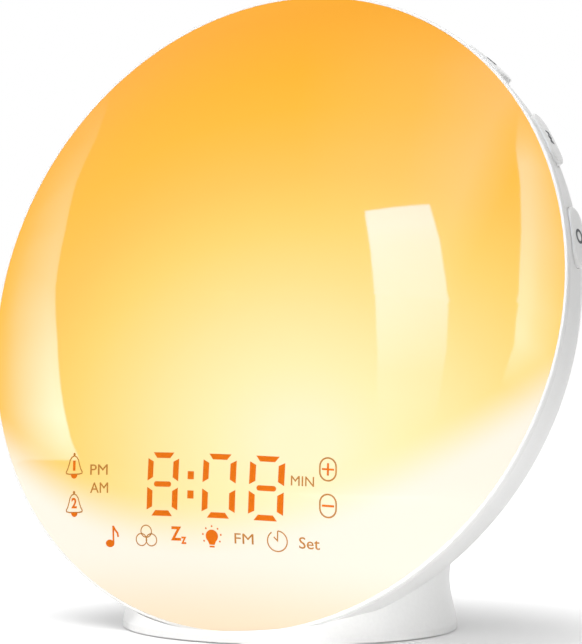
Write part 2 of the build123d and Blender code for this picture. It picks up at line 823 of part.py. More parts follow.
def disc_screws(spots, seat, tip, head, head_height, shank):
    """Screws along the disc's axis: heads behind the seat, shanks forward to the tip."""
    with BuildPart() as group:
        with BuildSketch(behind(seat)):
            with Locations(*spots):
                Circle(head)
        extrude(amount=-head_height)
        with BuildSketch(behind(seat)):
            with Locations(*spots):
                Circle(shank)
        extrude(amount=seat - tip)
    return group.part


with BuildPart() as case_screws:
    add(disc_screws(case_screw_spots, case_head_depth, case_boss_depth - 3.0, head_radius, 1.8, screw_shank))
case_screws.part.label = "case_screws"
export_step(case_screws.part, "parts/case_screws.step")

with BuildPart() as board_screws:
    add(disc_screws(main_posts, main_back, main_board_depth - 4.5, head_radius, 1.6, screw_shank))
    add(disc_screws(key_posts, key_board_depth + board, key_board_depth - 2.6, head_radius, 1.2, screw_shank))
board_screws.part.label = "board_screws"
export_step(board_screws.part, "parts/board_screws.step")

with BuildPart() as display_screws:
    add(disc_screws(display_posts, bowl_back, 0, head_radius, 1.6, screw_shank))
display_screws.part.label = "display_screws"
export_step(display_screws.part, "parts/display_screws.step")

with BuildPart() as speaker_screws:
    with BuildSketch(behind(speaker_flange_depth)):
        with Locations((0, speaker_up)):
            with PolarLocations(speaker_screw_circle, 4, start_angle=45):
                Circle(1.3)
    extrude(amount=1.0)
    with BuildSketch(behind(speaker_flange_depth)):
        with Locations((0, speaker_up)):
            with PolarLocations(speaker_screw_circle, 4, start_angle=45):
                Circle(speaker_shank)
    extrude(amount=-speaker_flange - speaker_screw_bite + fit)
speaker_screws.part.label = "speaker_screws"
export_step(speaker_screws.part, "parts/speaker_screws.step")

# ---------------------------------------------------------------------------------------------
# Power inlet
# ---------------------------------------------------------------------------------------------
jack_bore = 2.75
jack_pin = 1.0
jack_back = 14.0
with BuildPart() as dc_jack:
    with BuildSketch(jack_plane.offset(-jack_boss - 1.6)):
        Circle(jack_radius)
    extrude(amount=jack_boss + 1.6)
    with BuildSketch(jack_plane.offset(-jack_boss - 1.6)):
        Circle(jack_radius + 1.6)
    extrude(amount=1.6)
    with BuildSketch(jack_plane.offset(-jack_back)):
        Circle(jack_radius + 1.0)
    extrude(amount=jack_back - jack_boss - 1.6)
    with BuildSketch(jack_plane.offset(-9.5)):
        Circle(jack_bore)
    extrude(amount=9.5, mode=Mode.SUBTRACT)
dc_jack.part.label = "dc_jack"
export_step(dc_jack.part, "parts/dc_jack.step")

with BuildPart() as dc_jack_pin:
    with BuildSketch(jack_plane.offset(-9.5)):
        Circle(jack_pin)
    extrude(amount=8.5)
    tip = dc_jack_pin.edges().sort_by(Axis.Y)[-1]
    fillet(tip, 0.5)
dc_jack_pin.part.label = "dc_jack_pin"
export_step(dc_jack_pin.part, "parts/dc_jack_pin.step")

# ---------------------------------------------------------------------------------------------
# Wires inside the case
# ---------------------------------------------------------------------------------------------
wire_radius = 0.5


def wire(points, radii):
    """Round wire along straight runs joined by arcs."""
    with BuildPart() as run:
        with BuildLine() as route:
            FilletPolyline(*points, radius=radii)
        with BuildSketch(Plane(origin=route.line @ 0, z_dir=route.line % 0)):
            Circle(wire_radius)
        sweep()
    return run.part


plug_height = main_back + 1.4
with BuildPart() as speaker_wires:
    for shift in (-0.9, 0.9):
        stops = ((-17.6, 14.3, -speaker_flange_depth), (-17.6, 14.3, -21.6),
                 (-26, -6, -plug_height), (-26, -12, -plug_height))
        add(wire([disc.from_local_coords((x + shift, up, z)) for x, up, z in stops], [1.1, 4.0]))
speaker_wires.part.label = "speaker_wires"
export_step(speaker_wires.part, "parts/speaker_wires.step")

with BuildPart() as inlet_wires:
    for shift in (-0.9, 0.9):
        start = (shift, jack_face - jack_back, jack_z)
        turn = (shift, jack_face - jack_back - 4.5, jack_z)
        middle = (20 + shift, 6, 22)
        end = [disc.from_local_coords((24 + shift, up, -plug_height)) for up in (-52, -47)]
        add(wire([start, turn, middle, *end], [2.0, 6.0, 3.0]))
inlet_wires.part.label = "inlet_wires"
export_step(inlet_wires.part, "parts/inlet_wires.step")

key_wire_root = around(key_board_middle - 1, (80,))[0]
with BuildPart() as key_wires:
    for shift in (-1.4, 0, 1.4):
        start = (key_wire_root[0] + 0.83 * shift, key_wire_root[1] - 0.56 * shift)
        bend = (43 + 0.53 * shift, -30 - shift)
        stops = ((*start, -key_board_depth - board), (*start, -15.4), (*bend, -plug_height),
                 (36, -30 - shift, -plug_height))
        add(wire([disc.from_local_coords(stop) for stop in stops], [1.5, 3.0]))
key_wires.part.label = "key_wires"
export_step(key_wires.part, "parts/key_wires.step")

# ---------------------------------------------------------------------------------------------
# Underside: base plate, backup cell with its door and contacts, screws and pads
# ---------------------------------------------------------------------------------------------
door_hole = door_radius
lug_reach = door_radius + door_lug
lug_width = 5.0
lug_bottom = plate_top + fit
lug_top = lug_bottom + 0.8
door_bottom = foot_plane + fit
door_open = 60.0             # degrees from locked to free
cell_bottom = lug_top + fit
cell_top = cell_bottom + cell_height
cup_outer = 15.8
cup_top = cell_top + 1.9
leaf = 0.9
plate_head = 0.9

with BuildPart() as base_plate:
    with BuildSketch(Plane.XY.offset(foot_plane)):
        with Locations((0, plate_y)):
            Ellipse(plate_half_x, plate_half_y)
    extrude(amount=plate_thick)
    # cup over the backup cell
    with BuildSketch(Plane.XY.offset(plate_top)):
        with Locations((0, plate_y)):
            Circle(cup_outer)
    extrude(amount=cup_top - plate_top)
    with BuildSketch(Plane.XY.offset(plate_top)):
        with Locations((0, plate_y)):
            Circle(lug_reach + 3 * fit)
    extrude(amount=lug_top + fit - plate_top, mode=Mode.SUBTRACT)
    with BuildSketch(Plane.XY.offset(lug_top)):
        with Locations((0, plate_y)):
            Circle(cell_radius + 3 * fit)
    extrude(amount=cell_top + leaf - lug_top, mode=Mode.SUBTRACT)
    # door hole with the notches that let the lugs out
    with BuildSketch(Plane.XY.offset(foot_plane)):
        with Locations((0, plate_y)):
            Circle(door_hole)
            with Locations(Rotation(0, 0, door_open)):
                Rectangle(2 * (lug_reach + 2 * fit), lug_width + 4 * fit)
    extrude(amount=plate_thick, mode=Mode.SUBTRACT)
    # screw holes with sunk heads
    with BuildSketch(Plane.XY.offset(foot_plane)):
        with Locations(*base_screw_spots):
            Circle(screw_shank + fit)
    extrude(amount=plate_thick, mode=Mode.SUBTRACT)
    with BuildSketch(Plane.XY.offset(foot_plane)):
        with Locations(*base_screw_spots):
            Circle(head_radius + fit)
    extrude(amount=plate_head, mode=Mode.SUBTRACT)
base_plate.part.label = "base_plate"
export_step(base_plate.part, "parts/base_plate.step")

with BuildPart() as battery_door:
    with BuildSketch(Plane.XY.offset(door_bottom)):
        with Locations((0, plate_y)):
            Circle(door_radius - fit)
    extrude(amount=lug_top - door_bottom)
    with BuildSketch(Plane.XY.offset(lug_bottom)):
        with Locations((0, plate_y)):
            Rectangle(2 * lug_reach, lug_width)
    extrude(amount=lug_top - lug_bottom)
    with BuildSketch(Plane.XY.offset(door_bottom)):
        with Locations((0, plate_y)):
            SlotOverall(door_radius, 2)
    extrude(amount=1, mode=Mode.SUBTRACT)
battery_door.part.label = "battery_door"
export_step(battery_door.part, "parts/battery_door.step")

with BuildPart() as coin_cell:
    with BuildSketch(Plane.XY.offset(cell_bottom)):
        with Locations((0, plate_y)):
            Circle(cell_radius)
    extrude(amount=cell_height)
    fillet(coin_cell.edges().filter_by(GeomType.CIRCLE), 0.5)
coin_cell.part.label = "coin_cell"
export_step(coin_cell.part, "parts/coin_cell.step")

with BuildPart() as cell_contacts:
    with BuildSketch(Plane.XY.offset(cell_top)):
        with Locations((0, plate_y)):
            Rectangle(14, 4)
    extrude(amount=leaf)
    with BuildSketch(Plane.XY.offset(cell_bottom + 0.6)):
        with Locations((0, plate_y + cell_radius + 1.4 * fit)):
            Rectangle(3, 1.2 * fit)
    extrude(amount=cell_height - 1.2)
cell_contacts.part.label = "cell_contacts"
export_step(cell_contacts.part, "parts/cell_contacts.step")

with BuildPart() as base_screws:
    with BuildSketch(Plane.XY.offset(foot_plane + fit)):
        with Locations(*base_screw_spots):
            Circle(head_radius)
    extrude(amount=plate_head - fit)
    with BuildSketch(Plane.XY.offset(foot_plane + plate_head)):
        with Locations(*base_screw_spots):
            Circle(screw_shank)
    extrude(amount=base_boss_height - wall / 2)
base_screws.part.label = "base_screws"
export_step(base_screws.part, "parts/base_screws.step")

with BuildPart() as foot_pads:
    with BuildSketch(Plane.XY):
        with Locations(*pad_spots):
            Circle(pad_radius)
    extrude(amount=foot_plane + pad_pocket)
    fillet(foot_pads.edges().group_by(Axis.Z)[0], 0.2)
foot_pads.part.label = "foot_pads"
export_step(foot_pads.part, "parts/foot_pads.step")
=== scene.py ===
# %% [markdown]
# # Sunrise alarm clock
# A bedside lamp that wakes you with growing light. A domed diffuser glows like a low sun, a
# row of amber marks shines through its lower part, and a white dished shell runs down into an
# oval stand. This notebook dresses the ready-made solid model: it adds finishes, the lit
# marks, the floor, the lamps and the camera. The solids themselves are never moved.

# %% Load the clock
import math

import bmesh
import bpy
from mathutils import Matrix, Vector, geometry


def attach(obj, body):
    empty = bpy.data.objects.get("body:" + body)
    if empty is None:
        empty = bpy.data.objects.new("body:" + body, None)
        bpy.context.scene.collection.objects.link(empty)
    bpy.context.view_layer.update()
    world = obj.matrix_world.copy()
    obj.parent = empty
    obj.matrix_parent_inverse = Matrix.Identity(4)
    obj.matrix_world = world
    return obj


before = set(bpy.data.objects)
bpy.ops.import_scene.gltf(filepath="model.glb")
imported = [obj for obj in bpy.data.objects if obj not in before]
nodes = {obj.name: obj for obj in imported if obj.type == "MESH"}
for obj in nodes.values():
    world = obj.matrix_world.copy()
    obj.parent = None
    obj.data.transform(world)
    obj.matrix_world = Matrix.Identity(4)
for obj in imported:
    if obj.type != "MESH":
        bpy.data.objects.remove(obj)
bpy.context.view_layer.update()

# %% [markdown]
# ## Places on the lamp
# The lamp's disc leans back, so most places are easier to say in the disc's own terms: so
# far across, so far up along it, so far out of it. Small functions turn such a place into
# metres: one for any place, one on the dome and one on the round rim where the keys sit.

# %% The leaning disc
MM = 0.001
LEAN = math.radians(15)
DISC_CENTRE = Vector((0, -12.3, 84.82)) * MM
ACROSS = Vector((1, 0, 0))
UPWARD = Vector((0, math.sin(LEAN), math.cos(LEAN)))
OUTWARD = Vector((0, -math.cos(LEAN), math.sin(LEAN)))
DOME_RADIUS = 85.5
DOME_RISE = 18.5
DOME_BALL = (DOME_RADIUS**2 + DOME_RISE**2) / (2 * DOME_RISE)
KEY_FACE = 86.8
KEY_DEPTH = 7.5
KEY_PITCH = 19  # degrees


def in_disc(across, up, out):
    """Metres, from millimetres across, up and out of the ring's front plane."""
    return DISC_CENTRE + (ACROSS * across + UPWARD * up + OUTWARD * out) * MM


def on_dome(across, up, lift):
    """A place on the dome's outside, raised by lift."""
    rise = math.sqrt(DOME_BALL**2 - across**2 - up**2)
    return in_disc(across, up, rise - DOME_BALL + DOME_RISE + lift)


def on_key(turn, along, back, lift):
    """A place on a rim key's face: turn in degrees from the top, along and back in millimetres."""
    angle = math.radians(turn) + along / KEY_FACE
    reach = KEY_FACE + lift
    return in_disc(reach * math.sin(angle), reach * math.cos(angle), -KEY_DEPTH - back)


print("dome ball radius", round(DOME_BALL, 1), "mm, top of dome", on_dome(0, 0, 0))

# %% [markdown]
# ## Smooth shading
# The solids arrive as fine facets. Smooth shading hides the facets, and edges sharper than
# 30 degrees stay crisp, as on a moulded part. A weighted normal would also work, but it
# changes the mesh, and these meshes stay as they are.

# %% Smooth the solids
CRISP_EDGE = math.radians(30)
for solid in nodes.values():
    solid.data.shade_smooth()
    solid.data.set_sharp_from_angle(angle=CRISP_EDGE)
print("smoothed", len(nodes), "pieces")

# %% [markdown]
# ## Tools for finishes
# Colours are written as screen hex values and turned linear once. One small function adds a
# shader node: it takes plain settings, socket values and links alike. Patterns are sized
# from real millimetres.


# %% Colour, node and pattern helpers
def linear(screen):
    """Linear colour of a screen hex value such as F2F1EE."""
    channels = [int(screen[k:k + 2], 16) / 255 for k in (0, 2, 4)]
    return (*[c / 12.92 if c <= 0.04045 else ((c + 0.055) / 1.055)**2.4 for c in channels], 1)


def add_node(tree, kind, settings):
    """Adds a node. A setting is one of its own options, a socket's value, or a link to it."""
    made = tree.nodes.new("ShaderNode" + kind)
    for name, value in settings.items():
        if name == "stops":
            ramp = made.color_ramp.elements
            while len(ramp) < len(value):
                ramp.new(0.5)
            for stop, (place, screen) in zip(ramp, value):
                stop.position = place
                stop.color = linear(screen)
        elif isinstance(value, bpy.types.NodeSocket):
            tree.links.new(value, made.inputs[name])
        elif isinstance(name, str) and name not in made.inputs:
            setattr(made, name, value)
        else:
            made.inputs[name].default_value = value
    return made


def per_metre(size_mm):
    """Pattern scale whose features are about this many millimetres wide."""
    return 1 / (size_mm * MM)


def new_material(name):
    """An empty material: its node tree and its output node."""
    material = bpy.data.materials.new(name)
    material.use_nodes = True
    material.node_tree.nodes.clear()
    output = add_node(material.node_tree, "OutputMaterial", {})
    return material, material.node_tree, output


def dress(material, *names):
    """Gives solid pieces a finish."""
    for name in names:
        nodes[name].data.materials.clear()
        nodes[name].data.materials.append(material)
    print(material.name, "on", ", ".join(names))


# %% [markdown]
# Some finishes follow the disc: the glow of the dome, the tracks of the boards, the rings of
# the speaker. They need each surface point's millimetres across and up the disc, which are
# two dot products.

# %% Disc position inside a material
def disc_position(tree):
    """Sockets with the millimetres across and up the disc, and both as one vector."""
    place = add_node(tree, "TexCoord", {})
    inward = add_node(tree, "VectorMath", {
        "operation": "SUBTRACT", 0: place.outputs["Object"], 1: DISC_CENTRE})
    across = add_node(tree, "VectorMath", {
        "operation": "DOT_PRODUCT", 0: inward.outputs[0], 1: ACROSS / MM})
    up = add_node(tree, "VectorMath", {
        "operation": "DOT_PRODUCT", 0: inward.outputs[0], 1: UPWARD / MM})
    flat = add_node(tree, "CombineXYZ", {"X": across.outputs["Value"], "Y": up.outputs["Value"]})
    return across.outputs["Value"], up.outputs["Value"], flat.outputs[0]


# %% [markdown]
# ## The lit dome
# The diffuser is a thin dome of milky polycarbonate, moulded in a polished tool, with warm
# and white lights behind it. Light leaves it evenly, so its look is mostly its own glow:
# deep orange at the top like the sky and pale yellow round the sun in the lower middle. A
# pale milk-white band over its foot is a painted reflection, laid into the glow. The glow
# is painted by real distances on the disc. The gloss over it comes from the shader. Bare
# polycarbonate has an IOR of 1.58, and the thin hard coat on it, which does the mirroring,
# has 1.42.

# %% Glow of the dome
GLOW_SPREAD = 130  # millimetres from the brightest spot to the last colour
SUN_ACROSS = 24
SUN_UP = -38
SIDE_REACH = 0.75  # the glow reaches further sideways than up
GLOW_STRENGTH = 0.8
BODY_SHARE = 0.24  # how much of the lamps' light the milky plastic itself throws back
dome, tree, output = new_material("polished_polycarbonate_lit")
across, up, flat = disc_position(tree)
from_sun = add_node(tree, "VectorMath", {
    "operation": "MULTIPLY_ADD", 0: flat, 1: (SIDE_REACH, 1, 0),
    2: (-SUN_ACROSS * SIDE_REACH, -SUN_UP, 0)})
distance = add_node(tree, "VectorMath", {"operation": "LENGTH", 0: from_sun.outputs[0]})
reach = add_node(tree, "MapRange", {
    "Value": distance.outputs["Value"], "From Max": GLOW_SPREAD})
sky = add_node(tree, "ValToRGB", {"Fac": reach.outputs[0], "stops": [
    (0.05, "F9EFC2"), (0.15, "FAEBAD"), (0.23, "FAE49D"), (0.32, "F9DB86"), (0.42, "F9D16B"),
    (0.47, "F9CB5F"), (0.54, "F9C250"), (0.62, "FABB3C"), (0.69, "F9B628"), (0.77, "F9B016"),
    (0.92, "F3A400")]})
print("glow runs over", GLOW_SPREAD, "mm from", (SUN_ACROSS, SUN_UP))

# %% [markdown]
# The painted reflection over the dome's foot, milk white, ends in a line that sags in the
# middle and climbs towards both sides, more on the right. It is the height on the disc, less a
# little for the square of the distance from the middle and for the distance itself.

# %% Painted reflection over the dome's foot
CLIMB = 0.0048  # per millimetre
TILT = 0.09
REFLECTION_FROM, REFLECTION_FULL = -52, -68
WARM_FROM, WARM_FULL = -66, -86
sideways = add_node(tree, "Math", {"operation": "MULTIPLY_ADD", 0: across, 1: CLIMB, 2: TILT})
fall = add_node(tree, "Math", {"operation": "MULTIPLY", 0: across, 1: sideways.outputs[0]})
sagging = add_node(tree, "Math", {"operation": "SUBTRACT", 0: up, 1: fall.outputs[0]})
# Painted reflection: where this mask reaches 1, the glow turns pale milk white over the dome's
# foot.
painted_reflection_mask = add_node(tree, "MapRange", {
    "interpolation_type": "SMOOTHSTEP", "Value": sagging.outputs[0],
    "From Min": REFLECTION_FROM, "From Max": REFLECTION_FULL})
warm_edge = add_node(tree, "MapRange", {
    "interpolation_type": "SMOOTHSTEP", "Value": up,
    "From Min": WARM_FROM, "From Max": WARM_FULL})
# Colour of the painted reflection, warmer at the very rim.
painted_reflection_white = add_node(tree, "Mix", {
    "data_type": "RGBA", 0: warm_edge.outputs[0], 6: linear("F7EFDF"), 7: linear("F7E2C3")})
glow = add_node(tree, "Mix", {
    "data_type": "RGBA", 0: painted_reflection_mask.outputs[0], 6: sky.outputs[0], 7: painted_reflection_white.outputs[2]})
body = add_node(tree, "Mix", {
    "data_type": "RGBA", "blend_type": "MULTIPLY", 0: 1, 6: glow.outputs[2],
    7: (BODY_SHARE, BODY_SHARE, BODY_SHARE, 1)})
shader = add_node(tree, "BsdfPrincipled", {
    "Base Color": body.outputs[2], "Roughness": 0.035, "IOR": 1.42,
    "Emission Color": glow.outputs[2], "Emission Strength": GLOW_STRENGTH})
tree.links.new(shader.outputs[0], output.inputs["Surface"])
dress(dome, "front_diffuser")


# %% [markdown]
# ## Finishes that follow one noise
# Most of the clock is moulded plastic. Its colour wanders a little, its gloss is broken by a
# fine spark texture from the mould, and its surface has tiny hills. One function builds such
# a finish from a light and a dark tone, a gloss range, and the size of the pattern. Metals
# use it too, with a stretched pattern where they were rolled or brushed.


# %% A finish with a real-size pattern
def finish(name, light, dark, gloss, pattern_mm, hills_mm=0.01, metal=0, stretch=(1, 1, 1),
           ior=1.5, extra=None):
    """Principled finish whose colour, gloss and relief follow one noise of pattern_mm."""
    material, tree, output = new_material(name)
    place = add_node(tree, "TexCoord", {})
    along = add_node(tree, "Mapping", {"Vector": place.outputs["Object"], "Scale": stretch})
    grain = add_node(tree, "TexNoise", {
        "Vector": along.outputs[0], "Scale": per_metre(pattern_mm), "Detail": 3})
    tone = add_node(tree, "ValToRGB", {
        "Fac": grain.outputs["Fac"], "stops": [(0.3, dark), (0.7, light)]})
    rough = add_node(tree, "MapRange", {
        "Value": grain.outputs["Fac"], "From Min": 0.3, "From Max": 0.7,
        "To Min": gloss[0], "To Max": gloss[1]})
    relief = add_node(tree, "Bump", {
        "Height": grain.outputs["Fac"], "Distance": hills_mm * MM, "Strength": 1})
    settings = {"Base Color": tone.outputs[0], "Roughness": rough.outputs[0],
                "Normal": relief.outputs[0], "Metallic": metal}
    if not metal:
        settings["IOR"] = ior
    shader = add_node(tree, "BsdfPrincipled", {**settings, **(extra or {})})
    tree.links.new(shader.outputs[0], output.inputs["Surface"])
    return material


# %% [markdown]
# ## White plastics
# The shell, the plate and the battery door are ABS, moulded in a tool with a fine spark
# texture, which gives a soft sheen that hides fingerprints. The ring and the rim keys come
# from a polished tool, so they mirror the lamps with only slight ripples. The reflector bowl
# behind the dome is the whitest and the most matt, because it has to spread light. The
# plungers of the switches are acetal, which looks a little waxy: some light goes in.

# %% Moulded white pieces
shell_abs = finish("spark_textured_white_abs", "F0F0EF", "EDEDEC", (0.3, 0.36), 0.9, 0.004,
                   ior=1.53)
dress(shell_abs, "back_shell", "base_plate", "battery_door")
gloss_abs = finish("polished_white_abs", "F4F4F3", "F1F1F0", (0.12, 0.16), 4, 0.002, ior=1.53)
RIM_KEYS = range(1, 10)
dress(gloss_abs, "bezel_ring", *[f"rim_key_{k}" for k in RIM_KEYS])
bowl_abs = finish("matt_white_reflector_abs", "F7F7F4", "F2F2EE", (0.5, 0.6), 1.2, 0.01, ior=1.53)
dress(bowl_abs, "reflector_bowl", "display_housing")
acetal = finish("moulded_white_acetal", "F2F1EA", "ECEBE2", (0.28, 0.36), 0.6, 0.004, ior=1.48,
                extra={"Subsurface Weight": 0.15, "Subsurface Scale": MM,
                       "Subsurface Radius": (1, 0.9, 0.8)})
dress(acetal, *[f"switch_plunger_{k}" for k in RIM_KEYS])

# %% [markdown]
# ## Dark plastics, rubber and nylon
# The switches are glass-filled nylon, dark and dry-looking. The inlet is smoother black
# nylon. Chip bodies are moulded epoxy with fine sand marks. The connectors are unfilled
# nylon, which is cream and slightly waxy. The foot pads are soft grey rubber with the
# coarse skin of a cut sheet, and the speaker's surround is butyl rubber, nearly black.

# %% Moulded dark pieces
switch_nylon = finish("glass_filled_black_nylon", "2A2A2B", "1B1B1C", (0.42, 0.55), 0.25, 0.01)
dress(switch_nylon, "key_switches")
inlet_nylon = finish("moulded_black_nylon", "202022", "18181A", (0.3, 0.38), 0.5, 0.005)
dress(inlet_nylon, "dc_jack")
chip_epoxy = finish("moulded_chip_epoxy", "2B2B2D", "222224", (0.5, 0.62), 0.15, 0.008, ior=1.55)
dress(chip_epoxy, "board_chips")
cream_nylon = finish("moulded_cream_nylon", "EFE9D8", "E6DFCB", (0.35, 0.42), 0.7, 0.005,
                     extra={"Subsurface Weight": 0.1, "Subsurface Scale": MM,
                            "Subsurface Radius": (1, 0.8, 0.6)})
dress(cream_nylon, "board_connectors")
pad_rubber = finish("grey_sheet_rubber", "7C7C7B", "6A6A6A", (0.75, 0.88), 0.35, 0.03, ior=1.52)
dress(pad_rubber, "foot_pads")
butyl = finish("black_butyl_rubber", "242424", "1A1A1A", (0.5, 0.62), 0.5, 0.012, ior=1.52)
dress(butyl, "speaker_surround")

# %% [markdown]
# ## Wires and films
# Wires have a skin of soft PVC, red where they carry the lights' current and black
# elsewhere. Its gloss is even, with small ripples left by the extruder. The display's mask
# is a black printed film that keeps each mark's light to itself, over a foam gasket with
# open cells. The middle of each cell is painted darker: painted shade in the pores.

# %% Wires, film and foam
red_pvc = finish("extruded_red_pvc", "C8302A", "B82520", (0.32, 0.4), 0.6, 0.008, ior=1.54)
dress(red_pvc, "light_wires", "inlet_wires")
black_pvc = finish("extruded_black_pvc", "262627", "1D1D1E", (0.32, 0.42), 0.6, 0.008, ior=1.54)
dress(black_pvc, "speaker_wires", "key_wires")
mask_film = finish("printed_black_polyester_film", "1E1E1F", "161617", (0.35, 0.45), 0.3, 0.003,
                   ior=1.64)
dress(mask_film, "display_mask")

PORE_MM = 0.4
foam, tree, output = new_material("open_cell_black_foam")
place = add_node(tree, "TexCoord", {})
pores = add_node(tree, "TexVoronoi", {
    "Vector": place.outputs["Object"], "Scale": per_metre(PORE_MM)})
# Painted shade: the middle of each open cell is coloured darker than its walls.
tone = add_node(tree, "ValToRGB", {
    "Fac": pores.outputs["Distance"], "stops": [(0.15, "131313"), (0.6, "3A3A3B")]})
relief = add_node(tree, "Bump", {
    "Height": pores.outputs["Distance"], "Distance": 0.08 * MM, "Strength": 1})
shader = add_node(tree, "BsdfPrincipled", {
    "Base Color": tone.outputs[0], "Roughness": 0.95, "Normal": relief.outputs[0]})
tree.links.new(shader.outputs[0], output.inputs["Surface"])
dress(foam, "display_gasket")

# %% [markdown]
# ## Metals
# The screws are zinc plated, pale with a bluish cast and fine turning marks. The speaker's
# basket is pressed from rolled sheet steel, so its grain runs one way. The coin cell's can
# is stainless steel, brushed; the spring contacts are brass; the inlet's pin is nickel
# plated and nearly a mirror; the capacitors' cans are drawn aluminium. A metal's colour is
# its reflection, and its IOR stays at the shader's own value.

# %% Screws, basket, cell, contacts, pin and cans
zinc = finish("zinc_plated_steel", "CDD1D6", "B9BEC4", (0.24, 0.36), 0.5, 0.006, metal=1)
dress(zinc, "case_screws", "board_screws", "display_screws", "speaker_screws", "base_screws")
rolled_steel = finish("rolled_sheet_steel", "B9BBBD", "9FA2A5", (0.3, 0.42), 0.4, 0.006,
                      metal=1, stretch=(0.1, 1, 1))
dress(rolled_steel, "speaker_basket")
brushed_steel = finish("brushed_stainless_steel", "CFCFCD", "BDBDBB", (0.2, 0.32), 0.3, 0.004,
                       metal=1, stretch=(1, 0.08, 1))
dress(brushed_steel, "coin_cell")
brass = finish("rolled_brass", "D9B765", "C7A352", (0.22, 0.34), 0.4, 0.005, metal=1,
               stretch=(0.15, 1, 1))
dress(brass, "cell_contacts")
nickel = finish("nickel_plated_pin", "D5D0C8", "CBC6BE", (0.12, 0.2), 0.5, 0.002, metal=1)
dress(nickel, "dc_jack_pin")
drawn_aluminium = finish("drawn_aluminium", "D3D5D8", "C2C4C8", (0.25, 0.35), 0.35, 0.004,
                         metal=1, stretch=(1, 0.12, 1))
dress(drawn_aluminium, "board_capacitors")

# %% [markdown]
# ## Speaker cone and magnet
# The cone and its dust cap are pressed paper. Paper pulp shows short fibres, and the press
# leaves shallow rings round the middle, 1.6 mm apart. The rings come from the distance to
# the speaker's centre on the disc. The magnet is sintered ferrite, a dark ceramic whose
# ground faces have a fine mineral grain.

# %% Pressed paper and ferrite
SPEAKER_UP = 20
RING_MM = 1.6
paper, tree, output = new_material("pressed_paper_pulp")
_, _, flat = disc_position(tree)
from_speaker = add_node(tree, "VectorMath", {
    "operation": "SUBTRACT", 0: flat, 1: (0, SPEAKER_UP, 0)})
distance = add_node(tree, "VectorMath", {"operation": "LENGTH", 0: from_speaker.outputs[0]})
turns = add_node(tree, "Math", {
    "operation": "MULTIPLY", 0: distance.outputs["Value"], 1: 2 * math.pi / RING_MM})
rings = add_node(tree, "Math", {"operation": "SINE", 0: turns.outputs[0]})
place = add_node(tree, "TexCoord", {})
fibres = add_node(tree, "TexNoise", {
    "Vector": place.outputs["Object"], "Scale": per_metre(0.35), "Detail": 5, "Distortion": 1.5})
tone = add_node(tree, "ValToRGB", {
    "Fac": fibres.outputs["Fac"], "stops": [(0.3, "2B2926"), (0.7, "46423C")]})
fibre_relief = add_node(tree, "Bump", {
    "Height": fibres.outputs["Fac"], "Distance": 0.03 * MM, "Strength": 1})
ring_relief = add_node(tree, "Bump", {
    "Height": rings.outputs[0], "Distance": 0.06 * MM, "Strength": 1,
    "Normal": fibre_relief.outputs[0]})
shader = add_node(tree, "BsdfPrincipled", {
    "Base Color": tone.outputs[0], "Roughness": 0.85, "Normal": ring_relief.outputs[0]})
tree.links.new(shader.outputs[0], output.inputs["Surface"])
dress(paper, "speaker_cone", "dust_cap")
ferrite = finish("sintered_ferrite", "3B3B3E", "2B2B2D", (0.45, 0.6), 0.3, 0.01, ior=2.0)
dress(ferrite, "speaker_magnet")


# %% [markdown]
# ## Circuit boards
# A board is woven glass in epoxy under a coloured lacquer. Copper tracks lie under the
# lacquer as slightly paler, raised lines, and round tinned pads break through it in a grid.
# A brick pattern gives the tracks: its joints are straight lines with offset ends, as a
# router draws them. A regular cell pattern gives the pads. Both are sized on the disc, the
# way the boards lie.

# %% Lacquered boards
TRACK_WIDTH = 0.35
TRACK_PITCH = 2.4
PAD_PITCH = 5.1
PAD_RADIUS = 0.55


def circuit_board(name, lacquer, track, gloss):
    """Lacquered board with tracks and tinned pads. Colours are screen hex values."""
    material, tree, output = new_material(name)
    _, _, flat = disc_position(tree)
    tracks = add_node(tree, "TexBrick", {
        "Vector": flat, "Scale": 1, "Mortar Size": TRACK_WIDTH / 2, "Mortar Smooth": 0.1,
        "Brick Width": 4 * TRACK_PITCH, "Row Height": TRACK_PITCH, "offset": 0.37,
        "Color1": linear(lacquer), "Color2": linear(lacquer), "Mortar": linear(track)})
    pads = add_node(tree, "TexVoronoi", {
        "Vector": flat, "Scale": 1 / PAD_PITCH, "Randomness": 0, "voronoi_dimensions": "2D"})
    is_pad = add_node(tree, "Math", {
        "operation": "LESS_THAN", 0: pads.outputs["Distance"], 1: PAD_RADIUS / PAD_PITCH})
    tone = add_node(tree, "Mix", {
        "data_type": "RGBA", 0: is_pad.outputs[0], 6: tracks.outputs["Color"],
        7: linear("C9CBCC")})
    relief = add_node(tree, "Bump", {
        "Height": tracks.outputs["Fac"], "Distance": 0.035 * MM, "Strength": 1})
    rough = add_node(tree, "MapRange", {
        "Value": is_pad.outputs[0], "To Min": gloss, "To Max": 0.3})
    shader = add_node(tree, "BsdfPrincipled", {
        "Base Color": tone.outputs[2], "Roughness": rough.outputs[0],
        "Metallic": is_pad.outputs[0], "Normal": relief.outputs[0]})
    tree.links.new(shader.outputs[0], output.inputs["Surface"])
    return material


green_board = circuit_board("green_lacquered_glass_board", "1E5A36", "2F7A4C", 0.35)
dress(green_board, "display_board", "main_board", "key_board")
white_board = circuit_board("white_lacquered_aluminium_board", "EDEDE8", "E2E2DB", 0.42)
dress(white_board, "led_board")

# %% [markdown]
# The display's ribbon is a flat film with tinned copper strips inside, 1 mm apart. A wave
# pattern across the disc draws them.

# %% Flat cable
STRIP_PITCH = 1.0
ribbon, tree, output = new_material("flat_cable_film")
across, _, _ = disc_position(tree)
stripes = add_node(tree, "Math", {
    "operation": "MULTIPLY", 0: across, 1: 2 * math.pi / STRIP_PITCH})
wave = add_node(tree, "Math", {"operation": "SINE", 0: stripes.outputs[0]})
tone = add_node(tree, "ValToRGB", {
    "Fac": wave.outputs[0], "stops": [(0.0, "ECEAE0"), (0.35, "BDBFBF")]})
shader = add_node(tree, "BsdfPrincipled", {
    "Base Color": tone.outputs[0], "Roughness": 0.3, "IOR": 1.6})
tree.links.new(shader.outputs[0], output.inputs["Surface"])
dress(ribbon, "display_ribbon")

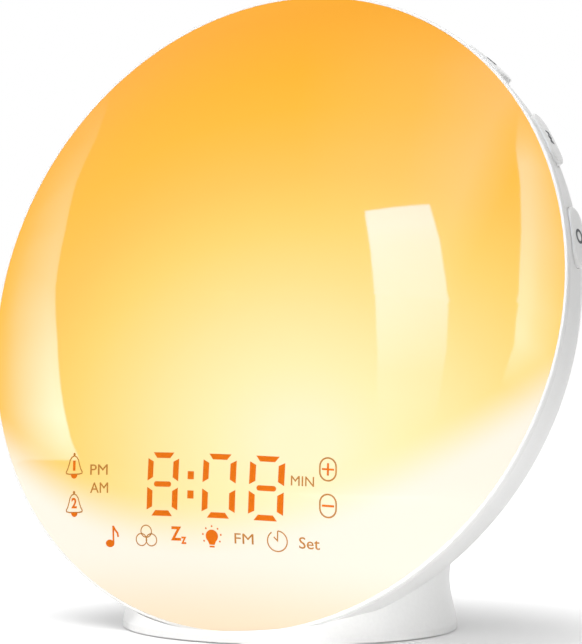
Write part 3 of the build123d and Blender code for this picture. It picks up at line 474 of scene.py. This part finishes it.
# %% [markdown]
# ## Lights
# Each light behind the dome is a white ceramic frame filled with yellow phosphor gel, which
# shows only on the front face. The face is found from the surface's direction, not from a
# picture. The display's own lights are small blocks of clear amber epoxy.

# %% Phosphor and amber lights
package, tree, output = new_material("ceramic_package_phosphor")
place = add_node(tree, "TexCoord", {})
facing = add_node(tree, "VectorMath", {
    "operation": "DOT_PRODUCT", 0: place.outputs["Normal"], 1: OUTWARD})
front = add_node(tree, "MapRange", {
    "Value": facing.outputs["Value"], "From Min": 0.9, "From Max": 0.98})
grit = add_node(tree, "TexNoise", {
    "Vector": place.outputs["Object"], "Scale": per_metre(0.12), "Detail": 2})
gel = add_node(tree, "ValToRGB", {
    "Fac": grit.outputs["Fac"], "stops": [(0.3, "E8B93A"), (0.7, "F2CB55")]})
tone = add_node(tree, "Mix", {
    "data_type": "RGBA", 0: front.outputs[0], 6: linear("F0EFEA"), 7: gel.outputs[0]})
shader = add_node(tree, "BsdfPrincipled", {"Base Color": tone.outputs[2], "Roughness": 0.35})
tree.links.new(shader.outputs[0], output.inputs["Surface"])
dress(package, "light_leds")
amber_epoxy = finish("clear_amber_epoxy", "F08A26", "E2761A", (0.1, 0.16), 0.8, 0.003, ior=1.54,
                     extra={"Transmission Weight": 0.3})
dress(amber_epoxy, "display_leds")


# %% [markdown]
# ## Flat drawings
# The marks on the dome and on the keys are flat shapes on curved faces. Each is first drawn
# flat, in millimetres, from filled outlines, even lines and letters. Letters come from
# Blender's own plain typeface, fitted to a box. A curve object with a bevel could draw the
# lines, but a mesh of strips stays thin and closed when it is wrapped on a dome.

# %% Outlines, lines and letters
def fill(drawing, outline):
    """Adds a filled outline to a flat drawing."""
    corners = [drawing.verts.new((x, y, 0)) for x, y in outline]
    for triangle in geometry.tessellate_polygon([[Vector((x, y, 0)) for x, y in outline]]):
        drawing.faces.new([corners[k] for k in triangle])


def line(drawing, points, width, closed=False):
    """Adds a line of even width through points."""
    points = [Vector(point) for point in points]
    count = len(points)
    steps = [(points[(k + 1) % count] - points[k]).normalized() for k in range(count)]
    if not closed:
        steps[-1] = steps[-2]
    edges = []
    for k, point in enumerate(points):
        before = steps[k - 1] if k or closed else steps[0]
        middle = (before + steps[k]).normalized()
        reach = width / 2 / max(middle.dot(steps[k]), 0.5)
        aside = Vector((-middle.y, middle.x)) * reach
        edges.append([drawing.verts.new((*(point + side * aside), 0)) for side in (1, -1)])
    for k in range(count if closed else count - 1):
        (a, b), (c, d) = edges[k], edges[(k + 1) % count]
        drawing.faces.new((a, b, d, c))


def bend(centre, across, up, start=0, end=360, count=24):
    """Points along an oval arc, from start to end in degrees. A whole oval leaves out its last."""
    whole = abs(end - start) == 360
    turns = [math.radians(start + (end - start) * k / count) for k in range(count + (not whole))]
    return [(centre[0] + across * math.cos(t), centre[1] + up * math.sin(t)) for t in turns]


def letters(drawing, words, centre, size, thicken=0):
    """Adds plain lettering, fitted to a box round centre."""
    text = bpy.data.curves.new("letters", "FONT")
    text.body = words
    text.offset = thicken
    text.resolution_u = 3
    holder = bpy.data.objects.new("letters", text)
    outline = bpy.data.meshes.new_from_object(holder)
    low = [min(corner.co[axis] for corner in outline.vertices) for axis in (0, 1)]
    high = [max(corner.co[axis] for corner in outline.vertices) for axis in (0, 1)]
    corners = []
    for corner in outline.vertices:
        share = [(corner.co[axis] - low[axis]) / (high[axis] - low[axis]) for axis in (0, 1)]
        fitted = [centre[axis] + size[axis] * (share[axis] - 0.5) for axis in (0, 1)]
        corners.append(drawing.verts.new((*fitted, 0)))
    for polygon in outline.polygons:
        drawing.faces.new([corners[k] for k in polygon.vertices])
    bpy.data.objects.remove(holder)
    bpy.data.meshes.remove(outline)
    bpy.data.curves.remove(text)


print("drawing tools ready")

# %% [markdown]
# A print has to be a closed, thin solid, so that it holds up as a mesh of its own. The flat
# drawing is extruded, and each corner is then laid on the curved face, low or high.

# %% From a flat drawing to a print
PRINT_LOW = 0.01
PRINT_HIGH = 0.07


def print_on(name, drawing, place, material, body):
    """Lays a flat drawing on a curved face as a thin closed solid that rides on a body."""
    bmesh.ops.remove_doubles(drawing, verts=drawing.verts[:], dist=0.002)
    raised = bmesh.ops.extrude_face_region(drawing, geom=drawing.faces[:])
    for corner in raised["geom"]:
        if isinstance(corner, bmesh.types.BMVert):
            corner.co.z = 1
    for corner in drawing.verts:
        lift = PRINT_LOW + (PRINT_HIGH - PRINT_LOW) * corner.co.z
        corner.co = place(corner.co.x, corner.co.y, lift)
    bmesh.ops.recalc_face_normals(drawing, faces=drawing.faces[:])
    open_edges = sum(not edge.is_manifold for edge in drawing.edges)
    mesh = bpy.data.meshes.new(name)
    drawing.to_mesh(mesh)
    drawing.free()
    mesh.materials.append(material)
    made = bpy.data.objects.new(name, mesh)
    bpy.context.scene.collection.objects.link(made)
    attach(made, body)
    print(name, len(mesh.polygons), "faces,", open_edges, "open edges")


# %% [markdown]
# ## The amber marks
# The marks are windows in the black mask. Amber light comes through them and shows on the
# dome as crisp orange shapes. They are drawn as a print with a little light of its own: a
# translucent screen ink with a fine dot grain. They lie under the dome's gloss, so the ink
# has none of its own. Thin lines let less light through and look browner, so they have an
# ink of their own.

# %% Two lit inks
def lit_ink(name, light, dark, strength):
    """Translucent screen ink with its own light."""
    return finish(name, light, dark, (0.3, 0.38), 0.25, 0.003, extra={
        "Specular IOR Level": 0, "Emission Color": linear(light), "Emission Strength": strength})


bold_ink = lit_ink("lit_amber_screen_ink", "E2721B", "DC6E18", 0.02)
thin_ink = lit_ink("lit_amber_screen_ink_thin", "BE823E", "B87C39", 0.02)
print(bold_ink.name, thin_ink.name)

# %% [markdown]
# ## The time
# Each digit has up to seven bars. The upright bars have slanted ends that follow the
# corners, the top and bottom bars are wide outside, and the middle bar is round-ended. All
# lean a touch to the right.

# %% Digits and colon
DIGIT_SLANT = 0.04
DIGIT_UP = -50.1
UPRIGHT = [(-4.95, 0.8), (-3.2, 1.7), (-3.2, 5.65), (-4.95, 6.45)]
CAP = [(-2.1, 6.55), (2.1, 6.55), (3.3, 7.95), (-3.3, 7.95)]
BAR = (*bend((2.1, 0), 0.67, 0.67, -90, 90, 6), *bend((-2.1, 0), 0.67, 0.67, 90, 270, 6))


def digit(drawing, centre_across, middle_bar):
    """Adds an 8, or a 0 without the middle bar."""
    bars = [[(side * x, end * y) for x, y in UPRIGHT] for side in (1, -1) for end in (1, -1)]
    bars += [[(x, end * y) for x, y in CAP] for end in (1, -1)]
    if middle_bar:
        bars.append(BAR)
    for outline in bars:
        fill(drawing, [(centre_across + x + DIGIT_SLANT * y, DIGIT_UP + y) for x, y in outline])


time_drawing = bmesh.new()
for digit_across, middle_bar in ((-16.6, True), (0.9, False), (14.7, True)):
    digit(time_drawing, digit_across, middle_bar)
for dot_across, dot_up in ((-7.7, -47.7), (-7.75, -52.5)):
    fill(time_drawing, [(dot_across + x, dot_up + y)
                        for x, y in ((-0.95, -1), (0.95, -1), (1.0, 1), (-0.9, 1))])
print_on("time_marks", time_drawing, on_dome, bold_ink, "lamp")

# %% [markdown]
# ## The small bold marks
# The solid ones: a note, a bulb with its rays, the two letters of sleep, the clappers and
# figures of the alarm bells, and the plus and minus.

# %% Note, bulb, sleep, figures
ROW_UP = -62.9
BELL_ACROSS = -47.6
BELL_TOPS = (-42.7, -52.5)
BELL_HEIGHT = 4.85
bold_drawing = bmesh.new()
NOTE = (-33.9, ROW_UP - 0.6)
fill(bold_drawing, bend((NOTE[0] - 0.75, NOTE[1] - 1.75), 1.5, 0.95, count=20))
line(bold_drawing, [(NOTE[0] + 0.5, NOTE[1] - 1.7), (NOTE[0] + 0.5, NOTE[1] + 2.7)], 0.55)
line(bold_drawing, [(NOTE[0] + 0.6, NOTE[1] + 2.5), (NOTE[0] + 1.2, NOTE[1] + 1.6),
                    (NOTE[0] + 2.0, NOTE[1] + 0.9), (NOTE[0] + 2.2, NOTE[1] - 0.1)], 0.55)
BULB = (-1.3, ROW_UP + 0.35)
fill(bold_drawing, [*bend(BULB, 1.85, 1.6, -50, 230, 24), (BULB[0] - 0.75, BULB[1] - 2.1),
                    (BULB[0] + 0.75, BULB[1] - 2.1)])
line(bold_drawing, [(BULB[0] - 0.75, BULB[1] - 2.55), (BULB[0] + 0.75, BULB[1] - 2.55)], 0.4)
for turn in (-30, 10, 50, 90, 130, 170, 210):
    ray = Vector((math.cos(math.radians(turn)), math.sin(math.radians(turn))))
    fill(bold_drawing, bend((BULB[0] + 2.75 * ray.x, BULB[1] + 2.45 * ray.y), 0.25, 0.25, count=8))
letters(bold_drawing, "Z", (-12.4, ROW_UP + 0.6), (3.3, 3.5), 0.03)
letters(bold_drawing, "z", (-10.0, ROW_UP - 1.0), (1.6, 1.8), 0.02)
letters(bold_drawing, "1", (BELL_ACROSS, -45.5), (0.9, 2.6), 0.01)
letters(bold_drawing, "2", (BELL_ACROSS, -55.1), (2.0, 2.7), 0.03)
for top in BELL_TOPS:
    fill(bold_drawing, bend((BELL_ACROSS, top - BELL_HEIGHT - 0.15), 1.25, 1.15, 180, 360, 12))
PLUS = (31.5, -44.5)
line(bold_drawing, [(PLUS[0] - 1.6, PLUS[1]), (PLUS[0] + 1.6, PLUS[1])], 0.45)
line(bold_drawing, [(PLUS[0], PLUS[1] - 1.5), (PLUS[0], PLUS[1] + 1.5)], 0.5)
MINUS = (31.6, -53.4)
line(bold_drawing, [(MINUS[0] - 1.6, MINUS[1]), (MINUS[0] + 1.6, MINUS[1])], 0.5)
print_on("bold_marks", bold_drawing, on_dome, bold_ink, "lamp")

# %% [markdown]
# ## The thin marks
# The outlined ones: two alarm bells, morning and evening letters, the minutes, the two
# pills round plus and minus, three rings for light colours, the radio band, a timer and the
# word at the end of the row.

# %% Bells, pills, rings, timer and thin letters
thin_drawing = bmesh.new()
BELL = [(0, -0.25), (0.9, -0.6), (1.55, -1.3), (2.0, -2.6), (2.5, -3.7), (3.05, -4.4),
        (2.95, -4.8), (1.9, -5.0)]
for top in BELL_TOPS:
    left = [(BELL_ACROSS - x, top + y) for x, y in reversed(BELL[1:])]
    right = [(BELL_ACROSS + x, top + y) for x, y in BELL]
    line(thin_drawing, [*left, *right], 0.32, closed=True)
    fill(thin_drawing, bend((BELL_ACROSS, top + 0.1), 0.42, 0.42, count=12))
letters(thin_drawing, "PM", (-38.4, -46.6), (6.3, 2.65))
letters(thin_drawing, "AM", (-38.3, -51.2), (6.5, 2.65))
letters(thin_drawing, "MIN", (24.7, -47.8), (6.3, 2.4))
letters(thin_drawing, "FM", (8.2, ROW_UP + 0.15), (5.5, 2.5))
letters(thin_drawing, "Set", (26.5, ROW_UP + 0.1), (5.6, 2.8), 0.004)
for middle in (PLUS, MINUS):
    pill = [*bend((middle[0], middle[1] + 0.7), 2.15, 2.1, 0, 180, 12),
            *bend((middle[0], middle[1] - 0.7), 2.15, 2.1, 180, 360, 12)]
    line(thin_drawing, pill, 0.38, closed=True)
RINGS = (-22.1, ROW_UP - 0.25)
for ring_across, ring_up in ((0, 1.15), (-1.65, -0.95), (1.65, -0.95)):
    ring = bend((RINGS[0] + ring_across, RINGS[1] + ring_up), 1.75, 1.5, count=28)
    line(thin_drawing, ring, 0.27, closed=True)
TIMER = (17.7, ROW_UP + 0.1)
line(thin_drawing, bend(TIMER, 2.75, 2.5, 85, -235, 40), 0.3)
line(thin_drawing, [(TIMER[0] + 0.15, TIMER[1] + 2.5), (TIMER[0] + 0.05, TIMER[1] + 0.1),
                    (TIMER[0] - 0.95, TIMER[1] + 0.95)], 0.34)
print_on("thin_marks", thin_drawing, on_dome, thin_ink, "lamp")

# %% [markdown]
# ## Marks on the keys
# Each rim key carries one small grey print that says what it does: softer, louder, alarm,
# tune, sleep, light, timer, radio and, on the last, a bold ring for on and off. The ink is
# matt and sits on the key, so it rides with it.

# %% Grey ink on the keys
key_ink = finish("matt_grey_pad_ink", "5A5C5F", "515356", (0.55, 0.65), 0.3, 0.003)


def key_drawing(kind):
    """A flat drawing of one key's mark, about 4 mm across."""
    drawing = bmesh.new()
    if kind in ("softer", "louder"):
        line(drawing, [(-1.4, 0), (1.4, 0)], 0.45)
    if kind == "louder":
        for side in (1, -1):
            line(drawing, [(0, side * 0.225), (0, side * 1.4)], 0.45)
    if kind == "alarm":
        bell = [(x * 0.6, 1.7 + y * 0.6) for x, y in BELL]
        line(drawing, [*[(-x, y) for x, y in reversed(bell[1:])], *bell], 0.35, closed=True)
    if kind == "tune":
        fill(drawing, bend((-0.5, -1.2), 0.9, 0.7, count=16))
        line(drawing, [(0.3, -1.1), (0.3, 1.7), (1.4, 1.0)], 0.4)
    if kind == "sleep":
        letters(drawing, "Z", (0, 0), (2.4, 2.8), 0.03)
    if kind == "light":
        line(drawing, bend((0, 0), 0.9, 0.9, count=20), 0.4, closed=True)
        for turn in range(0, 360, 45):
            ray = Vector((math.cos(math.radians(turn)), math.sin(math.radians(turn))))
            line(drawing, [ray * 1.4, ray * 1.9], 0.35)
    if kind == "timer":
        line(drawing, bend((0, 0), 1.5, 1.5, 85, -235, 28), 0.35)
        line(drawing, [(0.1, 1.4), (0, 0), (-0.7, 0.6)], 0.35)
    if kind == "radio":
        letters(drawing, "FM", (0, 0), (3.8, 2.0), 0.01)
    if kind == "power":
        line(drawing, bend((0, 0), 1.6, 1.6, count=32), 0.7, closed=True)
    return drawing


def on_this_key(turn):
    """The place function of the key at that turn."""
    return lambda along, back, lift: on_key(turn, along, back, lift)


KEY_KINDS = ("softer", "louder", "alarm", "tune", "sleep", "light", "timer", "radio", "power")
for k, kind in zip(RIM_KEYS, KEY_KINDS):
    turn = KEY_PITCH * (k - 5)
    print_on(f"key_mark_{kind}", key_drawing(kind), on_this_key(turn), key_ink, f"key_{k}")

# %% [markdown]
# ## Camera
# The camera stands 0.8 m away, thirty degrees to the right, with a long lens, so the disc
# looks calm and round rather than bulging. The lens comes from the number of pixels that
# one metre of clock fills at that distance: the sensor spans the picture's longer side.

# %% Camera
CAMERA_TURN = math.radians(30.44)
CAMERA_RISE = math.radians(1.01)
CAMERA_REACH = 0.8
AIM = Vector((0.0004, 0, 0.08087))
PIXELS_PER_METRE = 3766.7
PICTURE_HEIGHT = 644  # pixels
SENSOR = 36  # millimetres
sight = Vector((math.sin(CAMERA_TURN) * math.cos(CAMERA_RISE),
                -math.cos(CAMERA_TURN) * math.cos(CAMERA_RISE), math.sin(CAMERA_RISE)))
camera = bpy.data.objects.new("camera", bpy.data.cameras.new("camera"))
camera.data.sensor_width = SENSOR
camera.data.lens = SENSOR * PIXELS_PER_METRE * CAMERA_REACH / PICTURE_HEIGHT
camera.location = AIM + CAMERA_REACH * sight
camera.rotation_mode = "QUATERNION"
camera.rotation_quaternion = (-sight).to_track_quat("-Z", "Y")
camera.data.clip_start = 0.01
bpy.context.scene.collection.objects.link(camera)
bpy.context.scene.camera = camera
bpy.context.scene.view_settings.view_transform = "Standard"
print("lens", round(camera.data.lens, 1), "mm")


# %% [markdown]
# ## Floor and backdrop
# The clock stands on a plain sheet of white paper in a white studio. The paper is matt. A
# camera, a mirror or a lens sees it lifted to white, but it lights nothing by that, so the
# clock keeps its shades. The lift is weak near the foot, so its real shadow stays on the
# floor, deepened there by painted shade.

# %% Floor
def flat_mesh(name, points, faces):
    """A mesh that belongs to the studio, not to the clock."""
    mesh = bpy.data.meshes.new(name)
    mesh.from_pydata(points, [], faces)
    made = bpy.data.objects.new(name, mesh)
    bpy.context.scene.collection.objects.link(made)
    return made


def seen_directly(tree):
    """Socket that is 1 for camera, mirror and lens rays, and 0 for light."""
    rays = add_node(tree, "LightPath", {})
    seen = add_node(tree, "Math", {
        "operation": "ADD", "use_clamp": True,
        0: rays.outputs["Is Camera Ray"], 1: rays.outputs["Is Glossy Ray"]})
    seen = add_node(tree, "Math", {
        "operation": "ADD", "use_clamp": True,
        0: seen.outputs[0], 1: rays.outputs["Is Transmission Ray"]})
    return seen.outputs[0]


FLOOR_HALF = 6
LIFT_NEAR, LIFT_FAR = 0.17, 0.6
NEAR, FAR = 0.04, 0.13
corners = [(x * FLOOR_HALF, y * FLOOR_HALF, 0) for x, y in ((-1, -1), (1, -1), (1, 1), (-1, 1))]
floor = flat_mesh("floor", corners, [(0, 1, 2, 3)])
paper_sheet, tree, output = new_material("matt_white_paper")
sheet = add_node(tree, "BsdfDiffuse", {"Color": linear("F0F0F0")})
place = add_node(tree, "TexCoord", {})
away = add_node(tree, "VectorMath", {"operation": "LENGTH", 0: place.outputs["Object"]})
# Weaker lift near the foot: painted shade round the foot, on top of its real shadow.
whiten = add_node(tree, "MapRange", {
    "interpolation_type": "SMOOTHSTEP", "Value": away.outputs["Value"],
    "From Min": NEAR, "From Max": FAR, "To Min": LIFT_NEAR, "To Max": LIFT_FAR})
lift = add_node(tree, "Math", {
    "operation": "MULTIPLY", 0: seen_directly(tree), 1: whiten.outputs[0]})
shine = add_node(tree, "Emission", {"Color": (1, 1, 1, 1), "Strength": lift.outputs[0]})
both = add_node(tree, "AddShader", {0: sheet.outputs[0], 1: shine.outputs[0]})
tree.links.new(both.outputs[0], output.inputs["Surface"])
floor.data.materials.append(paper_sheet)
print("floor", 2 * FLOOR_HALF, "m wide")

# %% White studio
AMBIENT = 0.45
world = bpy.data.worlds.new("studio")
bpy.context.scene.world = world
world.use_nodes = True
tree = world.node_tree
tree.nodes.clear()
ambient = add_node(tree, "Background", {"Color": (1, 1, 1, 1), "Strength": AMBIENT})
backdrop = add_node(tree, "Background", {"Color": (1, 1, 1, 1), "Strength": 1})
either = add_node(tree, "MixShader", {
    0: seen_directly(tree), 1: ambient.outputs[0], 2: backdrop.outputs[0]})
add_node(tree, "OutputWorld", {"Surface": either.outputs[0]})
print("studio light", AMBIENT)


# %% [markdown]
# ## Softboxes
# What makes the dome look polished is what it mirrors: a tall window-like softbox in front,
# two long strips at its sides and a faint cloud overhead. Each is a flat card, most of them
# with curved edges, that fades along its length, and all but the window fade across too.
# The cards show only in reflections, so they shape the gloss without adding to the plain
# light.

# %% Card lamps
WHITE, BLACK = "FFFFFF", "000000"
# Cool like the sky, so that their mirror images on the amber dome look white.
BLUE_SKY, PALE_SKY = "A0BEFF", "C0D8FF"


def softbox(name, one_edge, other_edge, colour, strength, across_fade, along_fade):
    """A glowing card between two edges of points, with its fades across and along."""
    points = [p for pair in zip(one_edge, other_edge) for p in pair]
    faces = [(2 * k, 2 * k + 1, 2 * k + 3, 2 * k + 2) for k in range(len(one_edge) - 1)]
    card = flat_mesh(name, points, faces)
    layer = card.data.uv_layers.new(name="UVMap")
    for loop in card.data.loops:
        row, side = divmod(loop.vertex_index, 2)
        layer.data[loop.index].uv = (side, row / (len(one_edge) - 1))
    material, tree, output = new_material(name + "_glow")
    place = add_node(tree, "TexCoord", {})
    parts = add_node(tree, "SeparateXYZ", {0: place.outputs["UV"]})
    side = add_node(tree, "ValToRGB", {"Fac": parts.outputs["X"], "stops": across_fade})
    tall = add_node(tree, "ValToRGB", {"Fac": parts.outputs["Y"], "stops": along_fade})
    product = add_node(tree, "Math", {
        "operation": "MULTIPLY", 0: side.outputs[0], 1: tall.outputs[0]})
    shine = add_node(tree, "Emission", {"Color": linear(colour), "Strength": strength})
    clear = add_node(tree, "BsdfTransparent", {})
    mixed = add_node(tree, "MixShader", {
        0: product.outputs[0], 1: clear.outputs[0], 2: shine.outputs[0]})
    tree.links.new(mixed.outputs[0], output.inputs["Surface"])
    card.data.materials.append(material)
    card.visible_camera = False
    card.visible_shadow = False
    card.visible_diffuse = False
    print(name, "strength", strength)


CARD_REACH = 1.5
window_left = [(-0.355, 1.395), (-0.245, 1.122), (-0.153, 0.833), (-0.101, 0.585), (-0.074, 0.362),
               (-0.061, 0.193)]
window_right = [(-0.002, 1.476), (0.101, 1.218), (0.199, 0.870), (0.216, 0.606), (0.198, 0.375),
                (0.167, 0.201)]
softbox("window", [(x, -CARD_REACH, z) for x, z in window_left],
        [(x, -CARD_REACH, z) for x, z in window_right], BLUE_SKY, 19,
        [(0, WHITE), (1, WHITE)], [(0.1, WHITE), (0.4, "CCCCCC"), (0.7, "606060"), (0.95, BLACK)])
strip_in = [(0.347, 2.792), (0.429, 2.254), (0.499, 1.806), (0.534, 1.383), (0.543, 0.926),
            (0.534, 0.672), (0.476, 0.45)]
strip_out = [(0.60, 2.70), (0.66, 2.15), (0.733, 1.694), (0.781, 1.258), (0.765, 0.852),
             (0.72, 0.60), (0.66, 0.42)]
softbox("right_strip", [(x, -CARD_REACH, z) for x, z in strip_in],
        [(x, -CARD_REACH, z) for x, z in strip_out], PALE_SKY, 10,
        [(0, WHITE), (0.3, "F0F0F0"), (1, BLACK)],
        [(0.0, BLACK), (0.25, WHITE), (0.8, WHITE), (1, BLACK)])
left_in = [(0.077, 1.121), (-0.082, 1.003), (-0.172, 0.856), (-0.3, 0.724), (-0.418, 0.558),
           (-0.563, 0.414), (-0.697, 0.231), (-0.80, 0.1), (-0.88, 0.03)]
left_out = [(0.16, 1.02), (0.081, 0.886), (0.039, 0.686), (0.0, 0.60), (-0.033, 0.513),
            (-0.127, 0.341), (-0.221, 0.191), (-0.311, 0.061), (-0.31, 0.005)]
softbox("left_strip", [(-CARD_REACH, y, z) for y, z in left_in],
        [(-CARD_REACH, y, z) for y, z in left_out], PALE_SKY, 11,
        [(0, WHITE), (0.15, WHITE), (1, BLACK)],
        [(0.0, BLACK), (0.2, "606060"), (0.5, "A0A0A0"), (0.8, WHITE), (1, "C8C8C8")])
cloud_rows = (-0.2, -0.6, -1.1, -1.6, -2.2, -2.9)
softbox("cloud", [(-0.75, y, CARD_REACH) for y in cloud_rows],
        [(0.38, y, CARD_REACH) for y in cloud_rows], PALE_SKY, 4.5,
        [(0, BLACK), (0.5, "A0A0A0"), (0.8, WHITE), (1, BLACK)],
        [(0.0, BLACK), (0.2, WHITE), (0.4, WHITE), (0.7, "B0B0B0"), (1, BLACK)])


# %% [markdown]
# ## Plain lamps
# The studio's own light is even. One large lamp overhead, a little in front and to the left,
# gives the shapes their soft shading and keeps the shadow close to the foot. Two small ones
# stand low in front and at the right, and a narrow spot points at the stand, so that it
# isn't lost in the shade under the disc. All are hidden from reflections, where the cards
# do that work.

# %% Lamps
def add_lamp(name, kind, where, target, power, settings):
    """A lamp that looks at a target and shows in no reflection."""
    data = bpy.data.lights.new(name, kind)
    data.energy = power
    for setting, value in settings.items():
        setattr(data, setting, value)
    lamp = bpy.data.objects.new(name, data)
    lamp.location = where
    lamp.rotation_mode = "QUATERNION"
    lamp.rotation_quaternion = (Vector(target) - Vector(where)).to_track_quat("-Z", "Y")
    lamp.visible_camera = False
    lamp.visible_glossy = False
    bpy.context.scene.collection.objects.link(lamp)
    print(name, power, "W")


MIDDLE = (0, 0, 0.08)
STAND_FRONT = (0.034, 0.005, 0.008)
for name, where, size, power in (("top_lamp", (-0.35, -0.5, 1.6), 1.2, 16),
                                 ("low_front_lamp", (-0.05, -0.75, 0.03), 0.35, 2),
                                 ("low_right_lamp", (0.3, -0.32, 0.01), 0.12, 0.1)):
    add_lamp(name, "AREA", where, MIDDLE, power, {"shape": "DISK", "size": size})
add_lamp("stand_spot", "SPOT", (0.5, -0.55, 0.02), STAND_FRONT, 20, {
    "spot_size": math.radians(7), "spot_blend": 1, "shadow_soft_size": 0.05})
